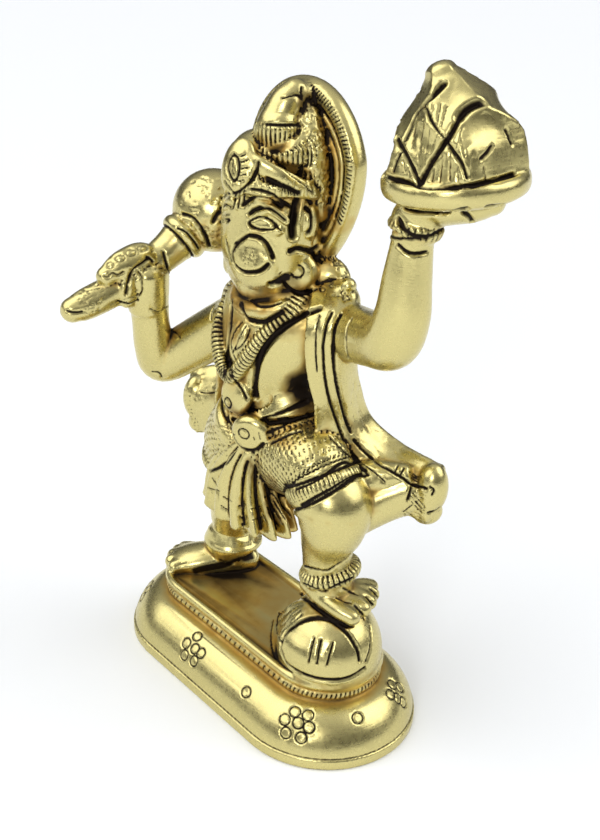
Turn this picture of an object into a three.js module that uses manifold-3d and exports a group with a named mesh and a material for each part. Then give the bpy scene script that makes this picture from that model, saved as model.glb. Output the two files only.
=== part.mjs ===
// A small cast brass figure: a monkey-faced hero on an oval plinth, one foot on a beaten
// demon's head, a mountain held up in the left hand and a mace over the right shoulder.
// The whole work is one casting. Millimetres, +Z up, X along the plinth, the figure faces -Y.
// The origin is the middle of the plinth's underside.
import * as THREE from "three";
import { mergeVertices } from "three/addons/utils/BufferGeometryUtils.js";
import Module from "manifold-3d";

const wasm = await Module();
wasm.setup();

// Driving sizes
const FIGURE_HEIGHT = 102; // from the plinth's floor to the top of the mountain
const PLINTH_LENGTH = 64;
const PLINTH_WIDTH = 32.6;
const PLINTH_HEIGHT = 12; // from the underside to the floor that the figure stands on
const SHOULDER_INSET = 6.2; // from the plinth's outline in to the outline of its top
const LIP_HEIGHT = 2; // the upright edge at the table
const NECK_HEIGHT = 3.2; // the grooved neck under the rim
const NECK_DEPTH = 0.9;
const RIM_HEIGHT = 0.8; // above the floor
const RIM_WIDTH = 1.5;
const FOOT_INSET = 9.8; // from the end of the top in to the right ankle
const DEMON_INSET = 8.9; // from the end of the top in to the middle of the demon's head
const MOUNTAIN_RADIUS = 10; // of the disc under the peak
const HALO_HALF_WIDTH = 13.13;
const HALO_HALF_HEIGHT = 15.41;
const MACE_BALL_RADIUS = 7.2;
const CLASP_RADIUS = 3.9; // of each round clasp on the belt
const PLINTH_STEPS = 10; // sides of each half round end, even so that a corner lies at its middle
const BRASS = 0xc9b45c;

// The figure is drawn 102 units tall, and keeps its proportions at any height.
const FIGURE_UNITS = 102;
const UNIT = FIGURE_HEIGHT / FIGURE_UNITS;

const mountainRadius = MOUNTAIN_RADIUS / UNIT; // these four in figure units
const haloHalf = [HALO_HALF_WIDTH / UNIT, HALO_HALF_HEIGHT / UNIT];
const maceBallRadius = MACE_BALL_RADIUS / UNIT;
const claspRadius = CLASP_RADIUS / UNIT;

const plinthRadius = PLINTH_WIDTH / 2;
const plinthStraight = (PLINTH_LENGTH - PLINTH_WIDTH) / 2; // half of the straight side
const topHalfLength = PLINTH_LENGTH / 2 - SHOULDER_INSET;
const rightFootX = -(topHalfLength - FOOT_INSET) / UNIT; // both in figure units
const demonX = (topHalfLength - DEMON_INSET) / UNIT;
const PLEATS = 14; // folds all round the front cloth
const FACE_TURN = THREE.MathUtils.degToRad(12); // the head looks a little to its left

const vector = (p) => new THREE.Vector3(...p);

/** A closed mesh over rings of points, all with the same number of points, each end closed by a fan. */
function skin(rings, tips) {
  const around = rings[0].length;
  const points = [...rings.flat(), ...tips];
  const faces = [];
  const at = (i, j) => i * around + (j % around);
  const last = rings.length - 1;
  for (let i = 0; i < last; i++) {
    for (let j = 0; j < around; j++) {
      faces.push(at(i, j), at(i, j + 1), at(i + 1, j));
      faces.push(at(i, j + 1), at(i + 1, j + 1), at(i + 1, j));
    }
  }
  for (let j = 0; j < around; j++) {
    faces.push(rings.length * around, at(0, j + 1), at(0, j));
    faces.push(rings.length * around + 1, at(last, j), at(last, j + 1));
  }
  const geometry = new THREE.BufferGeometry().setFromPoints(points);
  return geometry.setIndex(faces);
}

/**
 * A limb, fold or bundle: an oval carried along a smooth path. Each section is
 * [x, y, z, half width, half depth] in figure units, and may end with the direction that its
 * width lies along. `relief` makes the oval wider or narrower by angle and by share of the path.
 */
function loft(sections, { side = [1, 0, 0], around = 9, steps = 1, caps = [1, 1], relief } = {}) {
  const curve = (pick) => new THREE.CatmullRomCurve3(sections.map(pick), false, "catmullrom", 0.5);
  const path = curve((s) => vector(s.slice(0, 3)));
  const sizes = curve((s) => new THREE.Vector3(s[3], s[4], 0));
  const sides = curve((s) => vector(s.length > 5 ? s.slice(5, 8) : side));
  const count = (sections.length - 1) * steps;

  const ring = (t, out, shrink) => {
    const along = path.getTangent(t);
    const wide = sides.getPoint(t);
    wide.addScaledVector(along, -wide.dot(along)).normalize();
    const deep = along.clone().cross(wide);
    const size = sizes.getPoint(t);
    const centre = path.getPoint(t).addScaledVector(along, out * Math.min(size.x, size.y));
    const points = [];
    for (let j = 0; j < around; j++) {
      const angle = (2 * Math.PI * j) / around;
      const grow = shrink * (relief ? relief(angle, t) : 1);
      points.push(
        centre
          .clone()
          .addScaledVector(wide, grow * size.x * Math.cos(angle))
          .addScaledVector(deep, grow * size.y * Math.sin(angle))
          .multiplyScalar(UNIT),
      );
    }
    return points;
  };

  const shoulder = THREE.MathUtils.degToRad(48); // where the round end has its one ring
  const rings = [ring(0, -caps[0] * Math.sin(shoulder), Math.cos(shoulder))];
  for (let i = 0; i <= count; i++) rings.push(ring(i / count, 0, 1));
  rings.push(ring(1, caps[1] * Math.sin(shoulder), Math.cos(shoulder)));
  const tips = [ring(0, -caps[0], 0)[0], ring(1, caps[1], 0)[0]];
  return skin(rings, tips);
}

/** An egg shape, in figure units, with its own x axis turned about z by `turn`. */
function lump(centre, radii, turn = 0, tilt = 0, detail = [7, 5]) {
  const geometry = new THREE.SphereGeometry(UNIT, ...detail);
  geometry.scale(...radii);
  geometry.rotateX(tilt);
  geometry.rotateZ(turn);
  return geometry.translate(...centre.map((n) => n * UNIT));
}

/** A geometry turned until its `own` direction lies along `axis`, then moved, in figure units. */
function aimed(geometry, own, axis, centre) {
  const turn = new THREE.Quaternion();
  turn.setFromUnitVectors(own, vector(axis).normalize());
  geometry.applyQuaternion(turn);
  return geometry.translate(...centre.map((n) => n * UNIT));
}

/** A ring about `axis`: its radius across x and across y before it is turned, and its own thickness. */
function band(centre, axis, [across, deep], thick, { around = 16, rounds = 5 } = {}) {
  const geometry = new THREE.TorusGeometry(UNIT, (thick / across) * UNIT, rounds, around);
  geometry.scale(across, deep, across);
  return aimed(geometry, new THREE.Vector3(0, 0, 1), axis, centre);
}

/** A closed tube along points, as a strand or a rope of beads. */
function strand(points, radius, { steps = 16, sides = 2 } = {}) {
  const path = new THREE.CatmullRomCurve3(points.map((p) => vector(p).multiplyScalar(UNIT)));
  const section = new THREE.Shape();
  section.absarc(0, 0, radius * UNIT, 0, 2 * Math.PI);
  return new THREE.ExtrudeGeometry(section, { steps, curveSegments: sides, extrudePath: path });
}

/** A disc turned about its own axis, which points along `axis`, from a profile of [radius, height]. */
function turned(profile, centre, axis, around = 12) {
  const outline = profile.map(([r, h]) => new THREE.Vector2(r * UNIT, h * UNIT));
  const geometry = new THREE.LatheGeometry(outline, around);
  return aimed(geometry, new THREE.Vector3(0, 1, 0), axis, centre);
}

/** A geometry as a solid of the boolean library. */
function solid(geometry) {
  const plain = geometry.index ? geometry.toNonIndexed() : geometry;
  const bare = new THREE.BufferGeometry().setAttribute("position", plain.getAttribute("position"));
  const merged = mergeVertices(bare, 1e-4);
  return new wasm.Manifold(
    new wasm.Mesh({
      numProp: 3,
      vertProperties: new Float32Array(merged.attributes.position.array),
      triVerts: new Uint32Array(merged.index.array),
    }),
  );
}

/** The outline of an oval, [x, y], `inset` inside the plinth's own. */
function oval(inset) {
  const radius = plinthRadius - inset;
  const outline = [];
  for (const end of [1, -1]) {
    for (let i = 0; i <= PLINTH_STEPS; i++) {
      const angle = Math.PI * (i / PLINTH_STEPS - 0.5) + (end < 0 ? Math.PI : 0);
      outline.push([end * plinthStraight + radius * Math.cos(angle), radius * Math.sin(angle)]);
    }
  }
  return outline;
}

/** The plinth: an upright lip, a swelling skirt, a grooved neck, and a sunk floor inside a rim. */
function plinth() {
  const neckTop = PLINTH_HEIGHT;
  const neckFoot = neckTop - NECK_HEIGHT;
  const ledge = 0.3; // the skirt starts this far inside the lip
  const swell = 0.3; // the bead in the neck and the rim lean in by this much
  const skirtSteps = 4;
  const profile = [
    [0, 0],
    [0, LIP_HEIGHT],
  ];
  for (let i = 1; i <= skirtSteps; i++) {
    const a = (Math.PI / 2) * (i / skirtSteps);
    profile.push([
      ledge + (SHOULDER_INSET - ledge) * (1 - Math.cos(a)) ** 0.8,
      LIP_HEIGHT + (neckFoot - LIP_HEIGHT) * Math.sin(a),
    ]);
  }
  profile.push(
    [SHOULDER_INSET + NECK_DEPTH, neckFoot + 0.2],
    [SHOULDER_INSET + swell, neckFoot + 1.2],
    [SHOULDER_INSET + NECK_DEPTH, neckFoot + 2.1],
    [SHOULDER_INSET, neckTop - 0.5],
    [SHOULDER_INSET + swell, neckTop + RIM_HEIGHT],
    [SHOULDER_INSET + RIM_WIDTH - 0.4, neckTop + RIM_HEIGHT],
    [SHOULDER_INSET + RIM_WIDTH, neckTop],
  );
  const rings = profile.map(([inset, z]) => oval(inset).map(([x, y]) => new THREE.Vector3(x, y, z)));
  return skin(rings, [new THREE.Vector3(0, 0, 0), new THREE.Vector3(0, 0, neckTop)]);
}

/** The beaten demon's head, its bulging cheek and the lock of hair over it. */
function demon() {
  return [
    lump([demonX, -0.4, 2.6], [9.2, 9, 8.9], 0, 0, [12, 8]),
    lump([demonX + 0.4, -4.4, 4.4], [6.8, 5, 5.6], 0.35, 0.5, [10, 7]),
    loft(
      [
        [demonX - 6.8, -3.6, 1.5, 2.2, 1.4],
        [demonX - 5.8, -2.8, 7, 2.4, 1.5],
        [demonX - 1.5, -1.4, 10.8, 2.4, 1.3],
      ],
      { side: [0.5, 0.8, 0], around: 6 },
    ),
  ];
}

/** A foot along its sections, the front of it split into toes. */
function foot(sections, side) {
  const toes = (angle, t) => 1 + 0.13 * Math.max(0, 2 * t - 1) * Math.cos(8 * angle);
  return loft(sections, { side, around: 16, caps: [0.8, 0.9], relief: toes });
}

/** The right leg, straight down past a plain anklet to a foot that points forward. */
function rightLeg() {
  const x = rightFootX;
  return [
    loft(
      [
        [-10, -0.6, 28, 5.6, 5.6],
        [x + 3.4, 0.6, 20, 4.6, 4.7],
        [x + 1.2, 2.6, 13, 4.1, 4.3],
        [x + 0.1, 3.7, 7.4, 3.6, 3.8],
        [x, 3.7, 6.9, 5.4, 5.4],
        [x, 3.7, 5.2, 5.6, 5.6],
        [x, 3.8, 4.6, 3.8, 4],
        [x, 4.2, 0.6, 3.2, 3.4],
      ],
      { caps: [0.3, 0.1] },
    ),
    foot(
      [
        [x + 1, 7.2, 1.4, 2.7, 2.1],
        [x, 3, 1.9, 3, 2.7],
        [x - 2.4, -1.4, 1.7, 3.5, 2.5],
        [x - 3.6, -4, 1.5, 3.7, 2.1],
        [x - 4.6, -6, 1.2, 3.6, 1.6],
      ],
      [1, 0.2, 0],
    ),
  ];
}

/** The left leg: the knee bent out, the shin past a ribbed anklet to the foot on the demon. */
function leftLeg() {
  const x = demonX - 0.9;
  return [
    loft(
      [
        [13, -2, 33.4, 5.6, 5.6],
        [18, -2.6, 31.2, 6.3, 6.2],
        [18.6, -2, 27.4, 6, 5.9],
        [x + 1.2, -0.8, 22.4, 4.2, 4.5],
        [x + 0.4, -0.1, 18.7, 3.7, 3.9],
        [x + 0.4, -0.1, 18.2, 5.1, 5.1],
        [x + 0.2, 0, 16.4, 5.3, 5.3],
        [x + 0.2, 0, 15.9, 3.8, 3.9],
        [x, 0, 13, 3.4, 3.5],
      ],
      { side: [0, 1, 0], caps: [0.4, 0.2] },
    ),
    foot(
      [
        [x - 3.4, -1.6, 13, 2.6, 2],
        [x, -0.4, 13.8, 3, 2.7],
        [x + 4.4, 1, 13, 3.6, 2.1],
        [x + 6.6, 1.7, 12.4, 3.8, 1.7],
        [x + 8, 2.1, 12, 3.7, 1.4],
      ],
      [-0.25, 1, 0],
    ),
  ];
}

/** Hips, a double belt, waist, chest and neck. */
function torso() {
  return loft(
    [
      [0, 0.6, 27, 8, 5.6],
      [0, 0.4, 33, 10, 7.2],
      [0, 0.2, 38.6, 9.6, 7.2],
      [0, 0.2, 39, 10.6, 8.4],
      [0, 0.2, 40.6, 10.4, 8.3],
      [0, 0.1, 41, 9.3, 7.2],
      [0, 0.1, 41.8, 10, 8],
      [0, 0.1, 43, 9.8, 7.9],
      [0, 0, 43.4, 8.8, 7],
      [0.2, -0.8, 54, 11, 7.8],
      [0, -0.3, 59.5, 12, 7],
      [0, 0, 62.6, 8.6, 5.6],
      [0, 0, 66, 4.8, 4.6],
    ],
    { around: 11, caps: [0.5, 0.3] },
  );
}

/** The short breeches over both thighs, each ending in a rolled hem. */
function breeches() {
  const hemSide = [0, 1, 0];
  return [
    loft(
      [
        [4, -0.8, 33.4, 7.4, 7],
        [10.4, -1.8, 34, 6.8, 6.8],
        [15.6, -2.5, 36.2, 6.8, 6.7],
        [16.2, -2.5, 36.2, 7.9, 7.9],
        [17, -2.5, 35, 7.9, 7.9],
        [17.4, -2.5, 34.4, 6, 6],
      ],
      { side: hemSide, around: 11, caps: [0.4, 0.1] },
    ),
    loft(
      [
        [-4.4, -0.8, 37, 7.4, 7.6],
        [-8.4, -1.2, 32.4, 7.3, 7.3],
        [-10.1, -1, 28.6, 6.5, 6.6],
        [-10.3, -1, 28.2, 7.3, 7.4],
        [-10.9, -1, 26.8, 7.1, 7.2],
        [-11, -1, 26.4, 5.6, 5.6],
      ],
      { around: 11, caps: [0.4, 0.1] },
    ),
  ];
}

/** The front cloth: one sheet in pleats, that fans out from the belt's clasp to a curved hem. */
function frontCloth() {
  const pleats = (angle, t) => 1 + (0.05 + 0.07 * t) * Math.cos(PLEATS * angle);
  return loft(
    [
      [3.3, -5.6, 38, 2.2, 3],
      [1.2, -5.9, 33.4, 5.4, 4],
      [0.3, -5.8, 28.4, 8.2, 4.6],
      [1.4, -5.4, 24, 9.8, 4.8],
    ],
    { around: 2 * PLEATS, caps: [0.3, 0.4], relief: pleats },
  );
}

/** The belt's two round clasps, the collar and the long garland with its leaf pendant. */
function ornaments() {
  const clasp = [
    [0, -1.6],
    [0.87 * claspRadius, -1.4],
    [claspRadius, 0],
    [0.77 * claspRadius, 0.9],
    [0.38 * claspRadius, 0.7],
    [0, 1.2],
  ];
  const garland = [
    [6.4, 1, 64.2],
    [7.6, -3.8, 60.6],
    [5.9, -7.6, 55],
    [3.2, -8.9, 49.4],
    [-0.6, -9.1, 46],
    [-4.4, -8.6, 49.4],
    [-7.2, -6.8, 55],
    [-7.7, -3.4, 60.6],
    [-6.4, 1, 64.2],
  ];
  return [
    turned(clasp, [-0.7, -8.2, 45.4], [-0.1, -1, 0.1], 8),
    turned(clasp, [3.5, -8.6, 40], [0.1, -1, -0.05], 8),
    band([0.2, -1.6, 62.8], [0, -0.42, 1], [6.2, 5.6], 1.1, { around: 12, rounds: 4 }),
    strand(garland, 1.25),
    lump([0.2, -8.2, 54.4], [2.2, 1.3, 3.6], 0, -0.1, [6, 5]),
  ];
}

/** The left arm, its bangle and the flat hand under the mountain. */
function leftArm() {
  return [
    loft(
      [
        [9, 1, 58.6, 4.8, 4.8],
        [15, 1.4, 59.4, 4.4, 4.5],
        [22, -0.8, 61, 4.2, 4.3],
        [27.4, -2.4, 63, 4.4, 4.4],
        [29.3, -3, 67.6, 4, 4],
        [29.6, -3, 73, 3.5, 3.5],
        [29.9, -2.6, 79.6, 2.9, 2.9],
        [30, -2.5, 79.9, 4.1, 4.1],
        [30.1, -2.4, 81.3, 4, 4],
        [30.2, -2.3, 81.7, 3, 3],
      ],
      { side: [0, 1, 0], caps: [1, 0.2] },
    ),
    loft(
      [
        [30.2, -2.4, 81.4, 3.2, 3.4],
        [31.4, -0.8, 84, 5.2, 3.4],
        [35, 2.8, 84.4, 4.8, 2.6],
        [36.8, 4.8, 84.8, 3.6, 2],
      ],
      { side: [0.75, -0.66, 0] },
    ),
  ];
}

/** The mountain: a thick disc under a steep rounded peak that leans, with crossed grooves. */
function mountain() {
  const [x, y, z] = [33, 1.4, 88.4]; // the middle of the disc's upper face
  const disc = [
    [0, -3.4],
    [0.88 * mountainRadius, -3.2],
    [0.99 * mountainRadius, -2.3],
    [mountainRadius, -0.4],
    [0.93 * mountainRadius, 0],
    [0, 0.2],
  ];
  const peak = (dx, dy, rise, share) => {
    const radius = share * mountainRadius;
    return [x + dx, y + dy, z + rise, radius, radius];
  };
  const facets = (angle, t) => 1 - 0.04 * Math.abs(Math.sin(2.5 * angle + 2.2 * t));
  return [
    turned(disc, [x, y, z], [-0.05, -0.06, 1], 20),
    loft(
      [
        peak(0, 0, -1, 0.94),
        peak(0, 0, 1.6, 0.95),
        peak(-0.1, 0, 4.6, 0.845),
        peak(-0.5, -0.3, 8, 0.675),
        peak(-1, -0.7, 10.8, 0.475),
        peak(-1.5, -1.1, 12.4, 0.28),
      ],
      { side: [0.66, 0.75, 0], around: 14, caps: [0.1, 0.45], relief: facets },
    ),
  ];
}

/** The right arm, its fist, and the mace that the fist holds. */
function rightArmAndMace() {
  const tip = [-23.6, -26, 56.4];
  const ball = [-19.4, 0.8, 70.2];
  const along = (s) => tip.map((n, i) => n + s * (ball[i] - n));
  // Four fingers round the shaft: ridges across the fist.
  const knuckle = (i) => {
    const [x, y, z] = along(0.37 + 0.03 * i);
    const radius = i % 2 ? 4.2 : 3.8;
    return [x, y, z - 0.4, radius, radius];
  };
  return [
    loft(
      [
        [-8, -0.4, 57.4, 5, 5],
        [-13.2, -2, 53.8, 4.7, 4.8],
        [-18.6, -4.6, 48.6, 4.2, 4.4],
        [-23.2, -7.8, 44.6, 3.9, 4],
        [-23.3, -10, 47.4, 3.6, 3.8],
        [-21.6, -11, 52, 3.3, 3.4],
        [-21, -11.4, 55.6, 3.2, 3.3],
      ],
      { side: [0.6, -0.8, 0] },
    ),
    loft(
      [
        [-21, -11.2, 54.6, 3.5, 4],
        [-21.2, -11.6, 58.4, 4.3, 5],
        [-21.2, -11.6, 61.4, 3.6, 4.4],
      ],
      { around: 8, caps: [0.3, 0.4] },
    ),
    loft([0, 1, 2, 3, 4, 5, 6, 7, 8].map(knuckle), { around: 8, caps: [0.3, 0.3] }),
    loft(
      [
        [...along(0.05), 2.3, 2.3],
        [...along(0.14), 2.9, 2.9],
        [...along(0.34), 3.1, 3.1],
        [...along(0.74), 3.4, 3.4],
        [...along(0.76), 4.5, 4.5],
        [...along(0.8), 4.5, 4.5],
        [...along(0.82), 3.6, 3.6],
        [...along(0.9), 3.9, 3.9],
      ],
      { caps: [0.8, 0.2] },
    ),
    lump(ball, [1, 0.97, 0.97].map((n) => n * maceBallRadius), 0, 0, [12, 7]),
  ];
}

/** Head, muzzle, brows, eyes, ears, earrings and the hair that falls on the left shoulder. */
function head() {
  const facing = [Math.sin(FACE_TURN), -Math.cos(FACE_TURN)];
  const across = [Math.cos(FACE_TURN), Math.sin(FACE_TURN)];
  const centre = [-0.6, -1.9];
  const onFace = (right, out, z) => [
    centre[0] + right * across[0] + out * facing[0],
    centre[1] + right * across[1] + out * facing[1],
    z,
  ];
  const brow = (sign) =>
    loft(
      [
        [...onFace(sign * 1.1, 5.8, 75.8), 0.6, 0.5],
        [...onFace(sign * 3.4, 5.8, 77.2), 0.7, 0.55],
        [...onFace(sign * 5.8, 4.6, 75.6), 0.5, 0.45],
      ],
      { side: [0, 0, 1], around: 5 },
    );
  const earring = [
    [0, -1.6],
    [2.7, -1.4],
    [3, 0],
    [2.2, 0.9],
    [1.2, 0.6],
    [0, 0.9],
  ];
  return [
    loft(
      [
        [...onFace(0, 2, 62.4), 3.4, 3.2],
        [...onFace(0, 0.9, 65.2), 6, 5],
        [...onFace(0, 0.2, 70), 7.2, 6.1],
        [...onFace(0, 0, 75.6), 7.4, 6.3],
        [...onFace(0, -0.2, 80), 7, 6.2],
      ],
      { side: [...across, 0], around: 11, caps: [0.6, 0.3] },
    ),
    lump(onFace(0, 4.6, 69), [4.4, 3.2, 4], FACE_TURN, 0, [10, 7]),
    lump(onFace(0, 5.6, 73.4), [1.1, 1.2, 2.6], FACE_TURN, 0, [6, 4]),
    brow(1),
    brow(-1),
    lump(onFace(3.5, 5.1, 74), [2, 0.9, 0.95], FACE_TURN, 0, [8, 4]),
    lump(onFace(-3.5, 5.1, 74), [2, 0.9, 0.95], FACE_TURN, 0, [8, 4]),
    lump(onFace(7.4, 0.4, 75), [1.2, 1.9, 2.9], FACE_TURN + 0.4),
    lump(onFace(-7.4, 0.4, 75), [1.2, 1.9, 2.9], FACE_TURN - 0.4),
    turned(earring, onFace(6.5, 1.8, 67), [0.75, -0.66, 0.1], 8),
    turned(earring, onFace(-6.5, 1.8, 67), [-0.75, -0.66, 0.1], 8),
    lump([-0.4, 2.8, 72], [7.2, 4.8, 9]),
    lump([7.6, 3.4, 65.6], [4.4, 3.2, 4.6], 0.3),
    lump([11.6, 2.2, 62.4], [3.6, 3, 3], 0.2),
    lump([-8, 3.4, 64.4], [4.2, 3, 4.2], -0.3),
  ];
}

/** The tiered crown, the leaf boss on its front, and the tall oval halo behind it. */
function crownAndHalo() {
  const edge = 13.4; // the profile's own radius, before the disc is made oval
  const halo = [
    [0, -2.4],
    [10.6, -2.2],
    [13.2, -1],
    [edge, 0.8],
    [12.6, 1.9],
    [11.6, 1.7],
    [11.2, 0.9],
    [0, 0.9],
  ];
  const disc = turned(halo, [0, 0, 0], [0, -1, 0], 18);
  disc.scale(haloHalf[0] / edge, 1, haloHalf[1] / edge);
  disc.translate(0.2 * UNIT, 4 * UNIT, 79.8 * UNIT);
  return [
    disc,
    loft(
      [
        [-0.4, -2.4, 77.6, 7, 6.2],
        [-0.4, -2.4, 78.2, 8.3, 7.4],
        [-0.3, -2.4, 80.6, 8, 7.1],
        [-0.2, -2.3, 81.4, 6.4, 5.6],
        [-0.1, -2.2, 83.4, 5.6, 5.2],
        [0, -2.2, 83.8, 6.6, 6],
        [0.1, -2.1, 85.6, 6.2, 5.8],
        [0.2, -2, 86.2, 4.6, 4.4],
        [0.3, -1.9, 86.8, 5.3, 5],
        [0.4, -1.8, 88.6, 5, 4.8],
        [0.4, -1.7, 89.2, 3.9, 3.9],
        [0.2, -1, 92.6, 3.1, 3.1],
      ],
      { around: 11, caps: [0.2, 0.9] },
    ),
    lump([-0.6, -9.2, 82.8], [2.9, 1.3, 4.1], 0.1, -0.3, [8, 6]),
    lump([0.2, 2, 92.4], [3, 3.4, 2.6]),
  ];
}

/** A scarf end that hangs from a shoulder and blows out to the side, with rolled lips at its tip. */
function scarf(sections) {
  const folds = (angle) => 1 + 0.1 * Math.cos(4 * angle);
  const [x, y, z] = sections[sections.length - 1];
  const lip = (rise) => {
    const centre = [x - 0.4 * Math.sign(x), y - 0.1 * rise, z + rise];
    return lump(centre, [2.6, 2.5, 2.2], 0, 0, [6, 4]);
  };
  return [loft(sections, { around: 12, caps: [0.6, 0.5], relief: folds }), ...[-4.2, -0.5, 3.4].map(lip)];
}

const LEFT_SCARF = [
  [10.6, 1.8, 65, 3.2, 1, 0.8, 0.6, 0],
  [14.8, -2.6, 61.8, 3.4, 1.2, 0.8, 0.6, 0],
  [15, -2.4, 56.4, 3.6, 1.3, 0.5, 0.85, 0],
  [14.2, 0, 50, 4.2, 1.4, 0, 1, 0],
  [13.6, 2.4, 43.8, 4.7, 1.5, 0, 1, 0.1],
  [15.4, 4.6, 38.4, 4.8, 1.6, -0.3, 0.8, 0.4],
  [20.4, 7.2, 35.4, 5.2, 1.9, -0.3, 0.5, 0.8],
  [26, 9, 34.8, 5.3, 2.2, -0.1, 0.3, 0.95],
  [28.8, 9.6, 35, 5.4, 2.2, -0.1, 0.3, 0.95],
];
const RIGHT_SCARF = [
  [-8.6, 2.6, 60.6, 3, 1, -0.8, 0.6, 0],
  [-12, 1, 57, 3.6, 1.2, -0.3, 1, 0],
  [-13, 1, 50.4, 4, 1.3, 0, 1, 0],
  [-13.4, 2.2, 44.6, 4.6, 1.5, 0, 1, 0.1],
  [-15.4, 4.4, 39, 5, 1.6, 0.3, 0.8, 0.4],
  [-20.4, 5, 34.6, 5.6, 1.9, 0.3, 0.5, 0.8],
  [-25.4, 4.4, 30.6, 6, 2.2, 0.1, 0.3, 0.95],
  [-27.8, 3.8, 29.2, 6, 2.2, 0.1, 0.3, 0.95],
];

const figureForms = [
  ...demon(),
  ...rightLeg(),
  ...leftLeg(),
  torso(),
  ...breeches(),
  frontCloth(),
  ...ornaments(),
  ...leftArm(),
  ...mountain(),
  ...rightArmAndMace(),
  ...head(),
  ...crownAndHalo(),
  ...scarf(LEFT_SCARF),
  ...scarf(RIGHT_SCARF),
];

/** The casting as one mesh: every form of the figure joined to the plinth that it stands on. */
function casting() {
  const figure = wasm.Manifold.union(figureForms.map(solid)).translate([0, 0, PLINTH_HEIGHT]);
  const joined = figure.add(solid(plinth()));
  // The brass is solid: pockets sealed in between its forms are filled.
  const filled = wasm.Manifold.union(joined.decompose().filter((body) => body.volume() > 0));
  const { vertProperties, triVerts } = filled.getMesh();
  const geometry = new THREE.BufferGeometry();
  geometry.setAttribute("position", new THREE.BufferAttribute(vertProperties, 3));
  geometry.setIndex(new THREE.BufferAttribute(triVerts, 1));
  geometry.computeVertexNormals();
  return geometry;
}

const brass = new THREE.MeshStandardMaterial({ color: BRASS, metalness: 1, roughness: 0.34 });
const statue = new THREE.Mesh(casting(), brass);
statue.name = "hanuman_figure";

const group = new THREE.Group();
group.add(statue);

export default group;
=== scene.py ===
"""A small cast brass figure of a striding hero with a mountain and a mace, on its oval plinth.

The looks are one piece that stands for the one CAD node: every form is a surface worked out
with numpy, all of them are fused into one skin, the chisel lines and punch marks are cut into
that skin, and the dark colour that settles in the recesses is kept as values on its vertices,
along with painted shade in crowded corners and under parts, and a few painted shadows.
Lengths inside the classes are millimetres, with heights above the plinth's floor for the figure.
"""

from __future__ import annotations

import logging
import math
from dataclasses import dataclass, field, replace
from enum import Enum
from typing import Callable, Iterable, Sequence

import bpy
import numpy as np
from mathutils import Matrix, Vector
from mathutils.bvhtree import BVHTree


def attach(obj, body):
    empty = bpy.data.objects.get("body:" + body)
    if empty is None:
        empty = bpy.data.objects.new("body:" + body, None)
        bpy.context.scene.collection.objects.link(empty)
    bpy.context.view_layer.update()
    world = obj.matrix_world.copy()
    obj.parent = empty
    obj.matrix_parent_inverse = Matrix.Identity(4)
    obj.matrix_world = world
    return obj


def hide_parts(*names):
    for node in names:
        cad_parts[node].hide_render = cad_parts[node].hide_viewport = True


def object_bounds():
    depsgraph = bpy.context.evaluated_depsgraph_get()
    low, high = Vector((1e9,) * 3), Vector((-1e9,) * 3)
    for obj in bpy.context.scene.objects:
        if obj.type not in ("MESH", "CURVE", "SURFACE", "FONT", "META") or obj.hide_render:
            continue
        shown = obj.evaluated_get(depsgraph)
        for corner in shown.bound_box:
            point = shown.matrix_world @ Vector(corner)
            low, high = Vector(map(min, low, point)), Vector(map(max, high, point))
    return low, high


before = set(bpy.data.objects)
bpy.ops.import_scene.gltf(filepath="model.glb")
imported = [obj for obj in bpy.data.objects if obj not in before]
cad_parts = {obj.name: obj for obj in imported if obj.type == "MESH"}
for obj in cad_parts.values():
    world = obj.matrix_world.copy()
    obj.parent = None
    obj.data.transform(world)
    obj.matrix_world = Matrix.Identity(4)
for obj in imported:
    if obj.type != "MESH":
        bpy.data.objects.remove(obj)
cad_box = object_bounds()

log = logging.getLogger("brass_figure")

MM = 0.001
SEED = 7
FLOOR_HEIGHT = 12.0
SKIN_STEP = 0.25
SMOOTHING_PASSES = 6
MOST_TRIANGLES = 194_000
# Factors on the half width and the depth of every cut.
CHISEL_SPREAD = 1.12
CHISEL_BITE = 1.25

Array = np.ndarray
Relief = Callable[[Array, Array], Array]
Path = Sequence[tuple[float, ...]]
Point = tuple[float, float, float]
Strokes = tuple[tuple, ...]


def unit(vectors: Array) -> Array:
    """Vectors of length one along the last axis.

    Args:
        vectors: Any array whose last axis is a direction.

    Returns:
        The same directions, each divided by its own length.
    """
    return vectors / np.maximum(np.linalg.norm(vectors, axis=-1, keepdims=True), 1e-12)


def spline(knots: Array, share: Array) -> Array:
    """Points on a smooth curve through knots.

    Each stretch is the cubic whose slopes at its two ends are half the step between the knots
    before and after that end. The end knots are mirrored outwards.

    Args:
        knots: One row for each knot.
        share: Places along the curve, from 0 to 1.

    Returns:
        One row for each place.
    """
    knots = np.asarray(knots, float)
    padded = np.vstack([2 * knots[0] - knots[1], knots, 2 * knots[-1] - knots[-2]])
    place = np.clip(share, 0, 1) * (len(knots) - 1)
    stretch = np.minimum(place.astype(int), len(knots) - 2)
    w = (place - stretch)[:, None]
    before, start, end, after = (padded[stretch + k] for k in range(4))
    slope_start, slope_end = (end - before) / 2, (after - start) / 2
    return (
        (2 * w**3 - 3 * w**2 + 1) * start
        + (w**3 - 2 * w**2 + w) * slope_start
        + (3 * w**2 - 2 * w**3) * end
        + (w**3 - w**2) * slope_end
    )


@dataclass
class Surface:
    """A closed skin of triangles, in millimetres."""

    points: Array
    faces: Array

    def raised(self, height: float) -> Surface:
        """The same skin moved up by a height."""
        return Surface(self.points + np.array([0, 0, height]), self.faces)


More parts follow.
